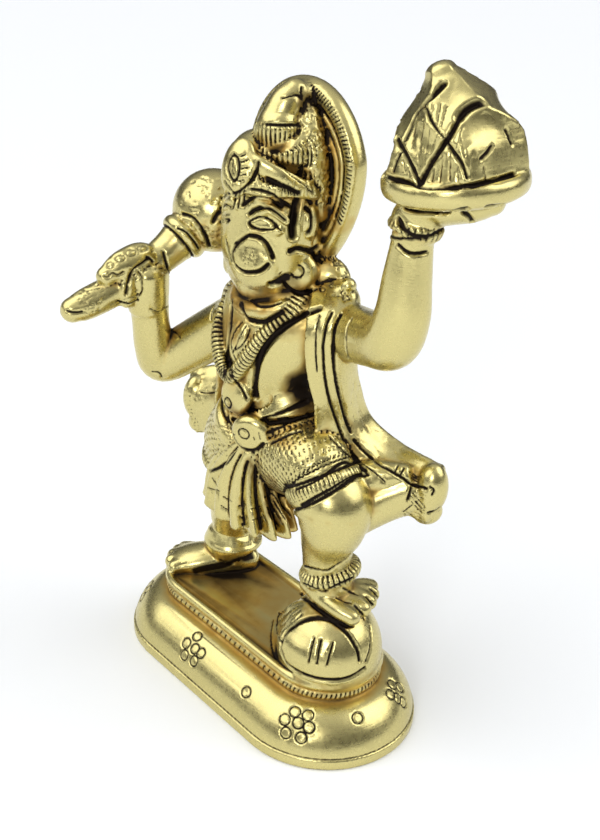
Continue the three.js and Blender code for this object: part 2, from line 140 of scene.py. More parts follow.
def ringed(rings: Array, first_tip: Array, last_tip: Array) -> Surface:
    """A closed skin over a grid of rings, with a fan of triangles to a tip at each end.

    Args:
        rings: A grid of points, rings by points round each ring by 3.
        first_tip: The point that closes the first ring.
        last_tip: The point that closes the last ring.

    Returns:
        The closed surface.
    """
    count, around = rings.shape[:2]
    i, j = np.meshgrid(np.arange(count - 1), np.arange(around), indexing="ij")
    k = (j + 1) % around
    a, b, c, d = i * around + j, i * around + k, (i + 1) * around + j, (i + 1) * around + k
    walls = np.concatenate([np.stack([a, b, c], -1), np.stack([b, d, c], -1)]).reshape(-1, 3)
    j = np.arange(around)
    k = (j + 1) % around
    first, last = count * around, count * around + 1
    foot = np.stack([np.full(around, first), k, j], -1)
    top = np.stack([np.full(around, last), j + last - 1 - around, k + last - 1 - around], -1)
    points = np.vstack([rings.reshape(-1, 3), first_tip, last_tip])
    return Surface(points, np.concatenate([walls, foot, top]))


def turn_to(own: Sequence[float], axis: Sequence[float]) -> Array:
    """The rotation that lays one direction along another, as a 3 by 3 array."""
    return np.array(Vector(own).rotation_difference(Vector(axis)).to_matrix())


@dataclass(frozen=True)
class Tube:
    """An oval carried along a smooth path.

    A point is the path's point, plus cosine of the angle times half the width along `side`, plus
    sine of the angle times half the depth across it, both times the relief.
    Each section is x, y, z, half width, half depth, and may end with its own side direction.
    """

    sections: Path
    side: Point = (1, 0, 0)
    caps: tuple[float, float] = (1, 1)
    relief: Relief | None = None
    around: int = 56
    steps: int = 9

    def _frames(self, share: Array) -> tuple[Array, ...]:
        """Centre, width direction, depth direction, path direction and half sizes at each share.

        Args:
            share: Shares, 0 to 1, of the way along the path.

        Returns:
            One array of each, a row for each share.
        """
        knots = np.array([s[:5] for s in self.sections], float)
        sides = np.array([s[5:8] if len(s) > 5 else self.side for s in self.sections], float)
        small = 1e-4
        centre = spline(knots[:, :3], share)
        ahead = spline(knots[:, :3], np.minimum(share + small, 1))
        behind = spline(knots[:, :3], np.maximum(share - small, 0))
        along = unit(ahead - behind)
        wide = spline(sides, share)
        wide = unit(wide - (wide * along).sum(-1, keepdims=True) * along)
        return centre, wide, np.cross(along, wide), along, spline(knots[:, 3:5], share)

    def knot(self, number: float) -> float:
        """The share of the path at a section's number, counted from 0."""
        return number / (len(self.sections) - 1)

    def at(self, angle: Array, share: Array) -> Array:
        """Points of the tube's wall.

        Args:
            angle: Angles round the oval, in radians.
            share: Places along the path, from 0 to 1, of the same shape.

        Returns:
            Points, with one more axis of length 3.
        """
        angle, share = np.broadcast_arrays(np.asarray(angle, float), np.asarray(share, float))
        centre, wide, deep, _, size = (v.reshape(angle.shape + (-1,)) for v in self._frames(share.ravel()))
        grow = self.relief(angle, share)[..., None] if self.relief else 1.0
        across = np.cos(angle)[..., None] * size[..., :1] * wide
        return centre + grow * (across + np.sin(angle)[..., None] * size[..., 1:] * deep)

    def surface(self) -> Surface:
        """The closed tube: its wall, and a dome at each end that shrinks as a cosine while it moves
        out as a sine.

        Returns:
            The surface.
        """
        share = np.linspace(0, 1, (len(self.sections) - 1) * self.steps + 1)
        angle = np.linspace(0, 2 * np.pi, self.around, endpoint=False)
        wall = self.at(*np.meshgrid(angle, share))
        centre, _, _, along, size = self._frames(np.array([0.0, 1.0]))
        reach = size.min(1)
        lean = np.radians(np.arange(12, 90, 13))[:, None, None]
        start = -along[0] * reach[0] * self.caps[0]
        end = along[1] * reach[1] * self.caps[1]
        first = centre[0] + (wall[0] - centre[0]) * np.cos(lean) + start * np.sin(lean)
        last = centre[1] + (wall[-1] - centre[1]) * np.cos(lean) + end * np.sin(lean)
        return ringed(np.concatenate([first[::-1], wall, last]), centre[0] + start, centre[1] + end)


@dataclass(frozen=True)
class Ball:
    """An egg shape: longitude and latitude scaled by three radii, tilted about x and turned about z."""

    centre: Point
    radii: Point
    turn: float = 0.0
    tilt: float = 0.0
    around: int = 48

    def at(self, longitude: Array, latitude: Array) -> Array:
        """Points of the egg at longitudes and latitudes in radians.

        Args:
            longitude: Angles round the egg.
            latitude: Angles above its middle.

        Returns:
            Points, a row for each angle.
        """
        x = np.cos(latitude) * np.cos(longitude) * self.radii[0]
        y = np.cos(latitude) * np.sin(longitude) * self.radii[1]
        z = np.sin(latitude) * self.radii[2] + 0 * longitude
        turned = np.array(Matrix.Rotation(self.turn, 3, "Z") @ Matrix.Rotation(self.tilt, 3, "X"))
        return np.stack([x, y, z], -1) @ turned.T + np.array(self.centre)

    def surface(self) -> Surface:
        """The closed egg.

        Returns:
            The surface.
        """
        latitude = np.linspace(-np.pi / 2, np.pi / 2, self.around // 2 + 1)[1:-1]
        longitude = np.linspace(0, 2 * np.pi, self.around, endpoint=False)
        grid = self.at(*np.meshgrid(longitude, latitude))
        tips = self.at(np.zeros(2), np.array([-np.pi / 2, np.pi / 2]))
        return ringed(grid, tips[0], tips[1])


@dataclass(frozen=True)
class Turned:
    """A profile of radius and height turned about an axis, then stretched across x and z.

    A point is the profile's radius times cosine and sine of the angle, and its height along the axis.
    With a taper it narrows across x in a straight line from a little above the middle down.
    """

    profile: Path
    centre: Point
    axis: Point
    stretch: Point = (1, 1, 1)
    taper: float = 0.0
    around: int = 96
    steps: int = 6

    def knot(self, number: float) -> float:
        """The share at a profile point's number, counted from 0."""
        return number / (len(self.profile) - 1)

    def at(self, angle: Array, share: Array) -> Array:
        """Points at angles in radians and shares, 0 to 1, of the profile's list.

        Args:
            angle: Angles round the axis.
            share: Shares along the profile.

        Returns:
            Points, a row for each share.
        """
        knots = np.asarray(self.profile, float)
        place = np.asarray(share, float) * (len(knots) - 1)
        radius = np.interp(place, np.arange(len(knots)), knots[:, 0])
        height = np.interp(place, np.arange(len(knots)), knots[:, 1])
        upright = np.stack([radius * np.cos(angle), height + 0 * angle, -radius * np.sin(angle)], -1)
        turned = (upright @ turn_to((0, 1, 0), self.axis).T) * np.array(self.stretch)
        below = np.maximum(0, 0.3 - turned[..., 2] / (knots[:, 0].max() * self.stretch[2]))
        turned[..., 0] *= 1 - self.taper * below
        return turned + np.array(self.centre)

    def surface(self) -> Surface:
        """The closed turned form, whose profile starts and ends on the axis.

        Returns:
            The surface.
        """
        share = np.linspace(0, 1, (len(self.profile) - 1) * self.steps + 1)
        angle = np.linspace(0, 2 * np.pi, self.around, endpoint=False)
        grid = self.at(*np.meshgrid(angle, share[1:-1]))
        tips = self.at(np.zeros(2), share[[0, -1]])
        return ringed(grid, tips[0], tips[1])


class Mark(Enum):
    """What made a cut, with how dark its floor is."""

    CHISEL = 1.0
    SCRATCH = 0.6
    SHALLOW = 0.25


@dataclass(frozen=True)
class Cut:
    """A line cut into the skin: its points, half width and depth in millimetres.

    One that is `hidden_only` is laid only where the studio camera doesn't see the skin.
    """

    points: Array
    half_width: float
    depth: float
    mark: Mark = Mark.CHISEL
    hidden_only: bool = False


@dataclass(frozen=True)
class PhotoCut:
    """A line placed as the studio camera sees it: its corners in picture pixels."""

    corners: Path
    half_width: float
    depth: float
    mark: Mark = Mark.CHISEL


@dataclass(frozen=True)
class StudioView:
    """The camera that sees the work as its picture does.

    A picture point's ray is the forward direction plus its offset from the picture's middle, over
    the focal length, along the right and up directions.
    """

    width: int = 600
    height: int = 840
    focal_px: float = 1167.09
    azimuth: float = 48.692
    elevation: float = 25.997
    distance: float = 193.95
    roll: float = 2.753
    target: Point = (4.705, 1.123, 52.357)

    def axes(self) -> tuple[Array, Array, Array, Array]:
        """Position in millimetres, and the forward, right and up directions.

        Returns:
            The four of them.
        """
        a, e, r = (math.radians(v) for v in (self.azimuth, self.elevation, self.roll))
        back = np.array([math.sin(a) * math.cos(e), -math.cos(a) * math.cos(e), math.sin(e)])
        right = unit(np.cross(-back, [0, 0, 1]))
        up = np.cross(right, -back)
        position = np.array(self.target) + back * self.distance
        return (
            position,
            -back,
            math.cos(r) * right + math.sin(r) * up,
            -math.sin(r) * right + math.cos(r) * up,
        )

    def rays(self, pixels: Array) -> tuple[Array, Array]:
        """The camera's position, and one direction for each row of picture coordinates.

        Args:
            pixels: Picture coordinates, a row for each point.

        Returns:
            The position and the directions.
        """
        position, forward, right, up = self.axes()
        x = (pixels[:, :1] - self.width / 2) / self.focal_px
        y = (pixels[:, 1:] - self.height / 2) / self.focal_px
        return position, unit(forward + x * right - y * up)

    def build(self) -> bpy.types.Object:
        """Makes the scene's camera at this view.

        Returns:
            The camera.
        """
        position, forward, right, up = self.axes()
        data = bpy.data.cameras.new("studio_camera")
        data.sensor_fit = "AUTO"
        data.sensor_width = 36.0
        data.lens = data.sensor_width * self.focal_px / max(self.width, self.height)
        data.clip_start = 0.005
        camera = linked("studio_camera", data)
        turned = Matrix([[*row] for row in np.stack([right, up, -forward], 1)])
        camera.matrix_world = Matrix.Translation(Vector(position * MM)) @ turned.to_4x4()
        bpy.context.scene.camera = camera
        return camera


def window(value: Array, low: float, high: float, soft: float = 0.02) -> Array:
    """1 between two values and 0 outside them, with a soft edge.

    Args:
        value: The values.
        low: The lower edge.
        high: The upper edge.
        soft: Width of each edge.

    Returns:
        A share, 0 to 1, for each value.
    """
    rise = np.clip((value - low) / soft + 0.5, 0, 1)
    fall = np.clip((high - value) / soft + 0.5, 0, 1)
    return rise * fall


def ribs(tube: Tube | Turned, count: int, low: float, high: float, half_width: float, depth: float,
         start: float = 0.0, end: float = 2 * math.pi, lean: float = 0.0,
         mark: Mark = Mark.CHISEL) -> list[Cut]:
    """Short cuts side by side round a form, each along its path.

    Args:
        tube: The form that carries them.
        count: How many there are between the two angles.
        low: Share of the path where each starts.
        high: Share of the path where each ends.
        half_width: Half the width of a cut.
        depth: Depth of a cut.
        start: First angle, in radians.
        end: Last angle, in radians.
        lean: How far a cut turns round the form from its start to its end, in radians.
        mark: How dark the cuts are.

    Returns:
        One cut for each rib.
    """
    share = np.linspace(low, high, 9)
    made = []
    for angle in np.linspace(start, end, count, endpoint=False):
        leant = angle + lean * (share - low) / max(high - low, 1e-6)
        made.append(Cut(tube.at(leant, share), half_width, depth, mark))
    return made


def round_cut(form: Tube | Turned, number: float, half_width: float, depth: float,
              mark: Mark = Mark.CHISEL) -> Cut:
    """A closed cut round a form at a section's number."""
    return Cut(form.at(np.linspace(0, 2 * np.pi, 120), form.knot(number)), half_width, depth, mark)


def pits(form: Tube | Ball | Turned, count: int, first: tuple[float, float], second: tuple[float, float],
         half_width: float, depth: float, rng: np.random.Generator, mark: Mark = Mark.SCRATCH) -> list[Cut]:
    """Scattered short dents on a form, between two values of each of its two parameters.

    Args:
        form: The form that they lie on.
        count: How many.
        first: Lowest and highest value of the first parameter.
        second: The same for the second.
        half_width: Half the width of a dent.
        depth: Its depth.
        rng: Where the random draws come from.
        mark: What the tool leaves.

    Returns:
        One cut for each dent.
    """
    a = rng.uniform(*first, count)
    b = rng.uniform(*second, count)
    turn_a, turn_b = rng.normal(0, 0.05, count), rng.normal(0, 0.02, count)
    made = []
    for k in range(count):
        ends = form.at(np.array([a[k], a[k] + turn_a[k]]), np.array([b[k], b[k] + turn_b[k]]))
        made.append(Cut(ends, half_width * rng.uniform(0.7, 1.3), depth * rng.uniform(0.5, 1.2), mark))
    return made


@dataclass(frozen=True)
class TarnishAndShade:
    """An egg-shaped place made brown and black: mostly tarnish where polishing never reached, and in a
    few places painted shade, such as the far foot's shadow and the hollow at the waist.
    """

    centre: Point
    radii: Point
    brown: float
    black: float = 0.0

    def share(self, points: Array) -> Array:
        """How far each point lies inside the place: 1 in its middle, 0 outside, with a soft edge.

        Args:
            points: The points.

        Returns:
            A share for each point.
        """
        gap = np.linalg.norm((points - np.array(self.centre)) / np.array(self.radii), axis=1)
        inside = np.clip((1.25 - gap) / 0.75, 0, 1)
        return inside * inside * (3 - 2 * inside)


@dataclass
class Group:
    """A sub-assembly of the figure, with the lines that the picture shows on it.

    A row of strokes or scratches is a half width and a depth in millimetres, then the corners of
    one or more lines in picture pixels.
    """

    strokes: Strokes = ()
    scratches: Strokes = ()

    def drawn(self, bold: float = 1.0) -> list[PhotoCut]:
        """The lines that the picture shows.

        Args:
            bold: Factor on every width and depth.

        Returns:
            One cut for each line.
        """
        return [
            PhotoCut(path, bold * half, bold * depth, mark)
            for rows, mark in ((self.strokes, Mark.CHISEL), (self.scratches, Mark.SCRATCH))
            for half, depth, *paths in rows for path in paths
        ]


@dataclass
class Plinth:
    """The oval plinth: an upright lip, a swelling skirt, a grooved neck and a floor in a rim.

    A point is the oval's outline drawn in by the profile's inset, at the profile's height. The oval
    is two half circles joined by straight sides.
    """

    length: float = 64.0
    width: float = 32.6
    height: float = 12.0
    shoulder_inset: float = 6.2
    lip_height: float = 2.0
    neck_height: float = 3.2
    neck_depth: float = 0.9
    rim_height: float = 0.8
    rim_width: float = 1.5
    punch_radius: float = 0.95
    beads: int = 120
    bead_lean: float = 0.002
    punched_rings: tuple[tuple[float, float], ...] = (
        (245.7, 692), (357.7, 718),
        (284.5, 719.5), (285.5, 733), (295, 711.5), (298, 723), (308, 715), (309, 727.5), (301, 738),
        (186, 643), (197, 636), (184, 655), (194.5, 648.5), (200.5, 653), (193.5, 661),
        (392.5, 684), (400, 687), (391, 694), (398, 698), (403.5, 702),
    )

    def _profile(self) -> Array:
        """Rows of inset and height from the underside up to the floor.

        Returns:
            The rows.
        """
        neck_foot = self.height - self.neck_height
        a = np.linspace(0, np.pi / 2, 26)[1:]
        skirt = np.stack([
            0.3 + (self.shoulder_inset - 0.3) * (1 - np.cos(a)) ** 0.8,
            self.lip_height + (neck_foot - self.lip_height) * np.sin(a),
        ], 1)
        s = self.shoulder_inset
        top = [
            [s + self.neck_depth, neck_foot + 0.25],
            [s + self.neck_depth, neck_foot + 0.45],
            [s + 0.3, neck_foot + 0.8],
            [s + 0.2, neck_foot + 1.25],
            [s + 0.35, neck_foot + 1.7],
            [s + self.neck_depth, neck_foot + 2.0],
            [s + self.neck_depth, neck_foot + 2.25],
            [s + 0.15, self.height - 0.5],
            [s - 0.02, self.height - 0.05],
            [s + 0.1, self.height + 0.45],
            [s + 0.45, self.height + self.rim_height],
            [s + self.rim_width - 0.5, self.height + self.rim_height],
            [s + self.rim_width - 0.1, self.height + 0.4],
            [s + self.rim_width, self.height],
        ]
        foot = [[0.25, 0], [0.0, 0.25], [0.0, self.lip_height - 0.25], [0.16, self.lip_height]]
        return np.vstack([foot, skirt, top])

    def at(self, share: Array, inset: Array, height: Array) -> Array:
        """Points at shares of the way round the oval, at insets and heights.

        Args:
            share: Shares of the way round.
            inset: How far each lies inside the base's edge.
            height: Its height.

        Returns:
            Points, a row for each share.
        """
        radius = self.width / 2
        straight = (self.length - self.width) / 2
        lengths = np.array([2 * straight, math.pi * radius, 2 * straight, math.pi * radius])
        bounds = np.concatenate([[0], np.cumsum(lengths)])
        place = (np.asarray(share, float) % 1) * bounds[-1]
        r = radius - inset
        turn_right = -math.pi / 2 + (place - bounds[1]) / radius
        turn_left = math.pi / 2 + (place - bounds[3]) / radius
        x = np.select(
            [place < bounds[1], place < bounds[2], place < bounds[3]],
            [-straight + place, straight + r * np.cos(turn_right), straight - (place - bounds[2])],
            -straight + r * np.cos(turn_left),
        )
        y = np.select(
            [place < bounds[1], place < bounds[2], place < bounds[3]],
            [-r, r * np.sin(turn_right), r],
            r * np.sin(turn_left),
        )
        return np.stack([x, y, height + 0 * x], -1)

    def surface(self) -> Surface:
        """The closed plinth, with the middle ring of the neck that the fine beads are cut into.

        Returns:
            The surface.
        """
        profile = self._profile()
        share, row = np.meshgrid(np.linspace(0, 1, 640, endpoint=False), np.arange(len(profile)))
        grid = self.at(share, profile[row, 0], profile[row, 1])
        return ringed(grid, np.array([0, 0, 0.0]), np.array([0, 0, self.height]))

    def cuts(self) -> list[Cut]:
        """The bead marks all round the neck, and the line above the lip.

        Returns:
            The cuts.
        """
        neck_foot = self.height - self.neck_height
        heights = np.linspace(neck_foot + 0.75, neck_foot + 1.75, 5)
        lean = np.linspace(0, self.bead_lean, 5)
        marks = [
            Cut(self.at(share + lean, self.shoulder_inset + 0.25, heights), 0.22, 0.3)
            for share in np.arange(self.beads) / self.beads
        ]
        line = self.at(np.linspace(0, 1, 700), 0.35, self.lip_height + 0.15)
        return [*marks, Cut(line, 0.22, 0.2, Mark.SCRATCH)]

    def streaks(self, points: Array, rng: np.random.Generator) -> Array:
        """Brown brush streaks on the floor: seeded values along y that drift slowly with x, and a
        browner band at the beaded neck.

        Args:
            points: Points of the skin.
            rng: The seeded source of the streaks.

        Returns:
            How brown each point is, 0 away from the floor and the neck.
        """
        radius = self.width / 2 - self.shoulder_inset - self.rim_width
        straight = (self.length - self.width) / 2
        out = np.hypot(np.maximum(np.abs(points[:, 0]) - straight, 0), points[:, 1])
        on_floor = window(points[:, 2], self.height - 0.4, self.height + 0.35, 0.2) * (out < radius + 0.4)
        drift = points[:, 1] + 0.5 * np.sin(points[:, 0] * 0.21) + 0.16 * np.sin(points[:, 0] * 0.9)
        half, many, few = 12, 420, 70
        table = rng.normal(0, 1, many)
        fine = np.interp(drift, np.linspace(-half, half, many), table)
        broad = np.interp(drift, np.linspace(-half, half, few), table[:few])
        neck = window(points[:, 2], self.height - self.neck_height - 0.2, self.height - 0.7, 0.5)
        return on_floor * np.clip(0.42 + 0.16 * fine + 0.2 * broad, 0, 1) + 0.3 * neck

    def far_punches(self) -> list[Array]:
        """Middles of ring punches on the side away from the camera: sets of seven, and single ones.

        Returns:
            One place for each ring.
        """
        inset, height = 1.9, 5.4
        wide, deep, high = 0.0118, 0.9, 1.6
        made = []
        for k, share in enumerate((0.56, 0.66, 0.75, 0.84, 0.92)):
            made.append(self.at(share, inset, height))
            for i in range(0 if k % 2 else 6):
                across, up = math.cos(2 * math.pi * i / 6), math.sin(2 * math.pi * i / 6)
                made.append(self.at(share + wide * across, inset + deep * up, height + high * up))
        return made


@dataclass
class Demon(Group):
    """The beaten demon's head under the left foot: a round head, a bulging lens of a face and hair."""

    x: float = 16.9
    radii: Point = (9.2, 9.0, 9.5)
    strokes: Strokes = (
        (0.42, 0.55, ((281, 644), (285, 634), (293, 627), (301, 622), (310, 619), (320, 618),
         (330, 620), (338, 625), (346, 632), (353, 641), (358, 651), (360, 661))),
        (0.45, 0.55, ((281, 650), (286, 662), (297, 671), (310, 677), (325, 680), (340, 680),
         (353, 676), (365, 668))),
        (0.24, 0.4, ((314, 638), (311, 650), (308.5, 662))),
        (0.26, 0.4, ((321, 640), (318.5, 652), (317, 664)), ((333, 643), (329.5, 655), (327, 665))),
        (0.14, 0.22, ((279, 615), (288, 607), (296, 602)), ((280, 620), (290, 611), (298, 606)),
         ((281, 626), (291, 617), (300, 610)), ((282, 632), (293, 622), (302, 614))),
        (0.2, 0.3, ((279, 612), (277, 624), (278, 636), (281, 642))),
        (0.34, 0.45, ((370, 626), (371, 638), (370, 650), (366, 662))),
        (0.35, 0.45, ((302, 597), (313, 605), (326, 615), (339, 622), (350, 626), (357, 624))),
        (0.25, 0.3, ((340, 624), (346, 632), (352, 638))),
    )
    scratches: Strokes = (
        (0.22, 0.25, ((273, 620), (271, 636), (273, 652), (281, 664), (292, 673))),
    )

    def forms(self) -> list[Ball | Tube]:
        """The head, its raised face and the roll of hair beside it.

        Returns:
            The forms, in the frame of the plinth's floor.
        """
        return [
            Ball((self.x, -0.4, 2.6), self.radii, around=72),
            Ball((self.x + 0.9, -4.1, 3.8), (7.3, 5.3, 5.4), 0.35, 0.5, around=64),
            Tube(
                (
                    (self.x - 6.8, -3.6, 1.5, 2.2, 1.4),
                    (self.x - 5.8, -2.8, 7, 2.4, 1.5),
                    (self.x - 1.5, -1.4, 10.8, 2.4, 1.3),
                ),
                side=(0.5, 0.8, 0),
            ),
        ]

    def tarnish_and_shade(self) -> list[TarnishAndShade]:
        """The ring where the head meets the plinth, and the crease under the sole.

        Returns:
            The places, in the frame of the plinth's floor.
        """
        return [
            TarnishAndShade((self.x, 0, 0.4), (12.5, 12, 1.3), 0.45, 0.3),
            TarnishAndShade((self.x + 0.6, -2.6, 10.6), (5.5, 5, 1.4), 0.4, 0.3),
        ]

    def cuts(self, rng: np.random.Generator) -> list[PhotoCut]:
        """The face's outline, three strokes in its middle, the hair and the edge of the cap."""
        return self.drawn()


@dataclass
class Legs(Group):
    """Both bare legs from under the breeches to the toes, with an anklet on each."""

    right_foot_x: float = -16.0
    demon_x: float = 16.9
    left_toes: tuple[Point, ...] = (
        (22.3, 1.7, 12.2), (21.4, 3.8, 12.2), (20.0, 5.7, 12.2), (18.3, 7.1, 12.2),
    )
    right_toes: tuple[Point, ...] = (
        (-20.4, -6.8, 1.2), (-22.5, -6.0, 1.2), (-23.9, -4.6, 1.2), (-24.6, -3.0, 1.2), (-24.8, -1.4, 1.2),
    )
    toe_joints: tuple[tuple[float, float], ...] = ((0.62, 1.6), (0.84, 1.6), (1, 1.4))
    strokes: Strokes = (
        (0.3, 0.4, ((303.5, 566), (314, 569), (327, 571), (337, 565), (347, 558.5)), ((355, 605),
         (360, 611), (364, 619))),
        (0.34, 0.4, ((303, 584), (313, 588), (324, 591), (338, 585), (353, 578))),
        (0.36, 0.45, ((301, 593), (310, 603), (320, 611), (334, 620), (347, 627))),
        (0.28, 0.4, ((366, 597), (370, 601), (373.5, 605))),
        (0.26, 0.35, ((370, 588), (374, 592), (378, 597))),
        # A broad shallow cut that paints the far foot's shadow on the floor dark.
        (1.1, 0.12, ((196, 571), (210, 568), (226, 565), (240, 560), (252, 556))),
    )
    scratches: Strokes = (
        (0.2, 0.2, ((336, 598), (345, 602), (352, 603))),
        (0.3, 0.15, ((343, 588), (350, 592), (358, 595))),
        (0.25, 0.2, ((176, 566), (181, 564), (186, 563))),
    )
    right_shin: Tube = field(init=False)
    left_shin: Tube = field(init=False)
    anklet: Tube = field(init=False)

    def __post_init__(self) -> None:
        """Sets out the two legs from the places of the feet."""
        x, y = self.right_foot_x, self.demon_x - 0.9
        self.right_shin = Tube(
            (
                (-9.9, -0.5, 28, 5.1, 5.1), (x + 3.6, 0.7, 20, 4.2, 4.3), (x + 1.2, 2.6, 13, 4.1, 4.3),
                (x + 0.1, 3.7, 7.6, 3.6, 3.8), (x, 3.7, 7.0, 5.1, 5.2), (x, 3.7, 6.1, 5.6, 5.6),
                (x, 3.7, 5.2, 5.2, 5.3), (x, 3.8, 4.6, 3.8, 4), (x, 4.2, 0.6, 3.2, 3.4),
            ),
            caps=(0.3, 0.1),
        )
        self.left_shin = Tube(
            (
                (15, -2.7, 34.6, 5.8, 5.8), (17.8, -2.4, 31.6, 6.5, 6.5), (18, -2.5, 28, 5.5, 5.6),
                (16.7, -2.1, 24.4, 4.4, 4.6), (y + 0.1, -1.5, 21.4, 4.1, 4.3), (y - 0.3, -1.1, 18.4, 3.9, 4),
                (y, -0.5, 15.4, 3.9, 4), (y, 0, 13, 3.4, 3.5),
            ),
            side=(0, 1, 0), caps=(0.4, 0.2),
        )
        turn = np.linspace(0, 2 * np.pi, 17)[:, None]
        round_it = np.cos(turn) * (0.63, 0.72, 0.27) + np.sin(turn) * (-0.75, 0.66, -0.08)
        ring = (y, -0.5, 17.4) + 4.2 * round_it
        self.anklet = Tube(tuple((*point, 1.2, 1.2) for point in ring), side=(0, 0, 1), around=32)

    def tarnish_and_shade(self) -> list[TarnishAndShade]:
        """The painted shadow beside the far foot, and the hollows above and below the anklets.

        Returns:
            The places, in the frame of the plinth's floor.
        """
        return [
            # Painted shadow of the far foot on the floor.
            TarnishAndShade((self.right_foot_x + 3, 0.6, 0.2), (3.8, 6, 1.1), 0.6, 0.75),
            TarnishAndShade((self.right_foot_x + 1, 2, 4.6), (4.6, 4.6, 1), 0.4, 0.3),
            TarnishAndShade((self.demon_x - 0.5, -0.1, 15.6), (5, 5, 0.8), 0.5, 0.4),
            TarnishAndShade((self.demon_x - 0.5, -0.1, 19), (4.4, 4.4, 0.6), 0.4, 0.35),
        ]

    def forms(self) -> list[Tube | Ball]:
        """Both shins, both feet with their toes, and the web from the left calf to the scarf.

        Returns:
            The forms, in the frame of the plinth's floor.
        """
        x, y = self.right_foot_x, self.demon_x - 0.9
        return [
            self.right_shin,
            self.left_shin,
            Tube(((x + 1.4, 6.8, 1.4, 2.7, 2.1), (x, 3.4, 2, 3.3, 2.9), (x - 2.6, -0.4, 2, 3.9, 2.8),
                  (x - 4.8, -3, 1.7, 4, 2.3), (x - 6.4, -4.8, 1.3, 3.6, 1.7)),
                 side=(0.8, -0.6, 0), caps=(0.8, 0.6)),
            self.anklet,
            Tube(((y - 3.4, -2.2, 13.6, 1.6, 1.6), (y + 0.4, -2.9, 13.6, 1.55, 1.55),
                  (y + 4, -2.4, 12.8, 1.5, 1.5), (y + 6.8, -1.3, 12, 1.4, 1.4)),
                 side=(-0.45, 0.9, 0), caps=(0.8, 1)),
            Tube(((y - 3.4, -0.6, 13, 2.4, 2), (y, 0.4, 13.2, 3.4, 2), (y + 2.6, 1.7, 12.9, 4.2, 1.7),
                  (y + 4.9, 3, 12.4, 4.4, 1.4)),
                 side=(-0.45, 0.9, 0), caps=(0.8, 0.6)),
            Tube(((17.4, -1.2, 28.2, 4.8, 4.2), (20.2, 2, 30.2, 4, 3.4), (22.6, 4.9, 32, 3.8, 2.9),
                  (25.2, 7.6, 33.4, 3.8, 2.4)),
                 side=(0, 0.5, -0.8), caps=(0.6, 0.6), around=72, steps=14),
            Tube(((17, 0.6, 33.6, 4, 3.6), (20.4, 4, 35.2, 3.4, 3), (24, 7.4, 35.8, 3, 2.2)),
                 side=(0, 0.5, -0.8), caps=(0.6, 0.6), around=72, steps=14),
            *[self.toe((y + 0.6, 1, 13.4), tip) for tip in self.left_toes],
            *[self.toe((x - 1.6, 1.4, 2.4), tip) for tip in self.right_toes],
        ]

    def toe(self, heel: Point, tip: Point) -> Tube:
        """A toe: a short round roll that ends at its tip and points away from the heel.

        Args:
            heel: The point that it leads away from.
            tip: Where it ends.

        Returns:
            The toe.
        """
        start, end = np.array(heel), np.array(tip)
        joints = tuple((*(start + share * (end - start)), size, size) for share, size in self.toe_joints)
        return Tube(joints, side=(0, 0, 1), around=28, steps=6)

    def cuts(self, rng: np.random.Generator) -> list[Cut | PhotoCut]:
        """Ribs all round the left anklet, a line above and below both, the parting of the toes, and a broad
        dark band painted as the far foot's shadow on the floor.

        Args:
            rng: Not used.

        Returns:
            The cuts, in the frame of the plinth's floor or in the picture.
        """
        outside = np.linspace(-0.3, math.pi, 12)
        return [
            *[Cut(self.anklet.at(outside, share), 0.2, 0.32) for share in np.linspace(0, 1, 36)],
            round_cut(self.right_shin, 3.5, 0.22, 0.2, Mark.SCRATCH),
            *self.drawn(),
        ]


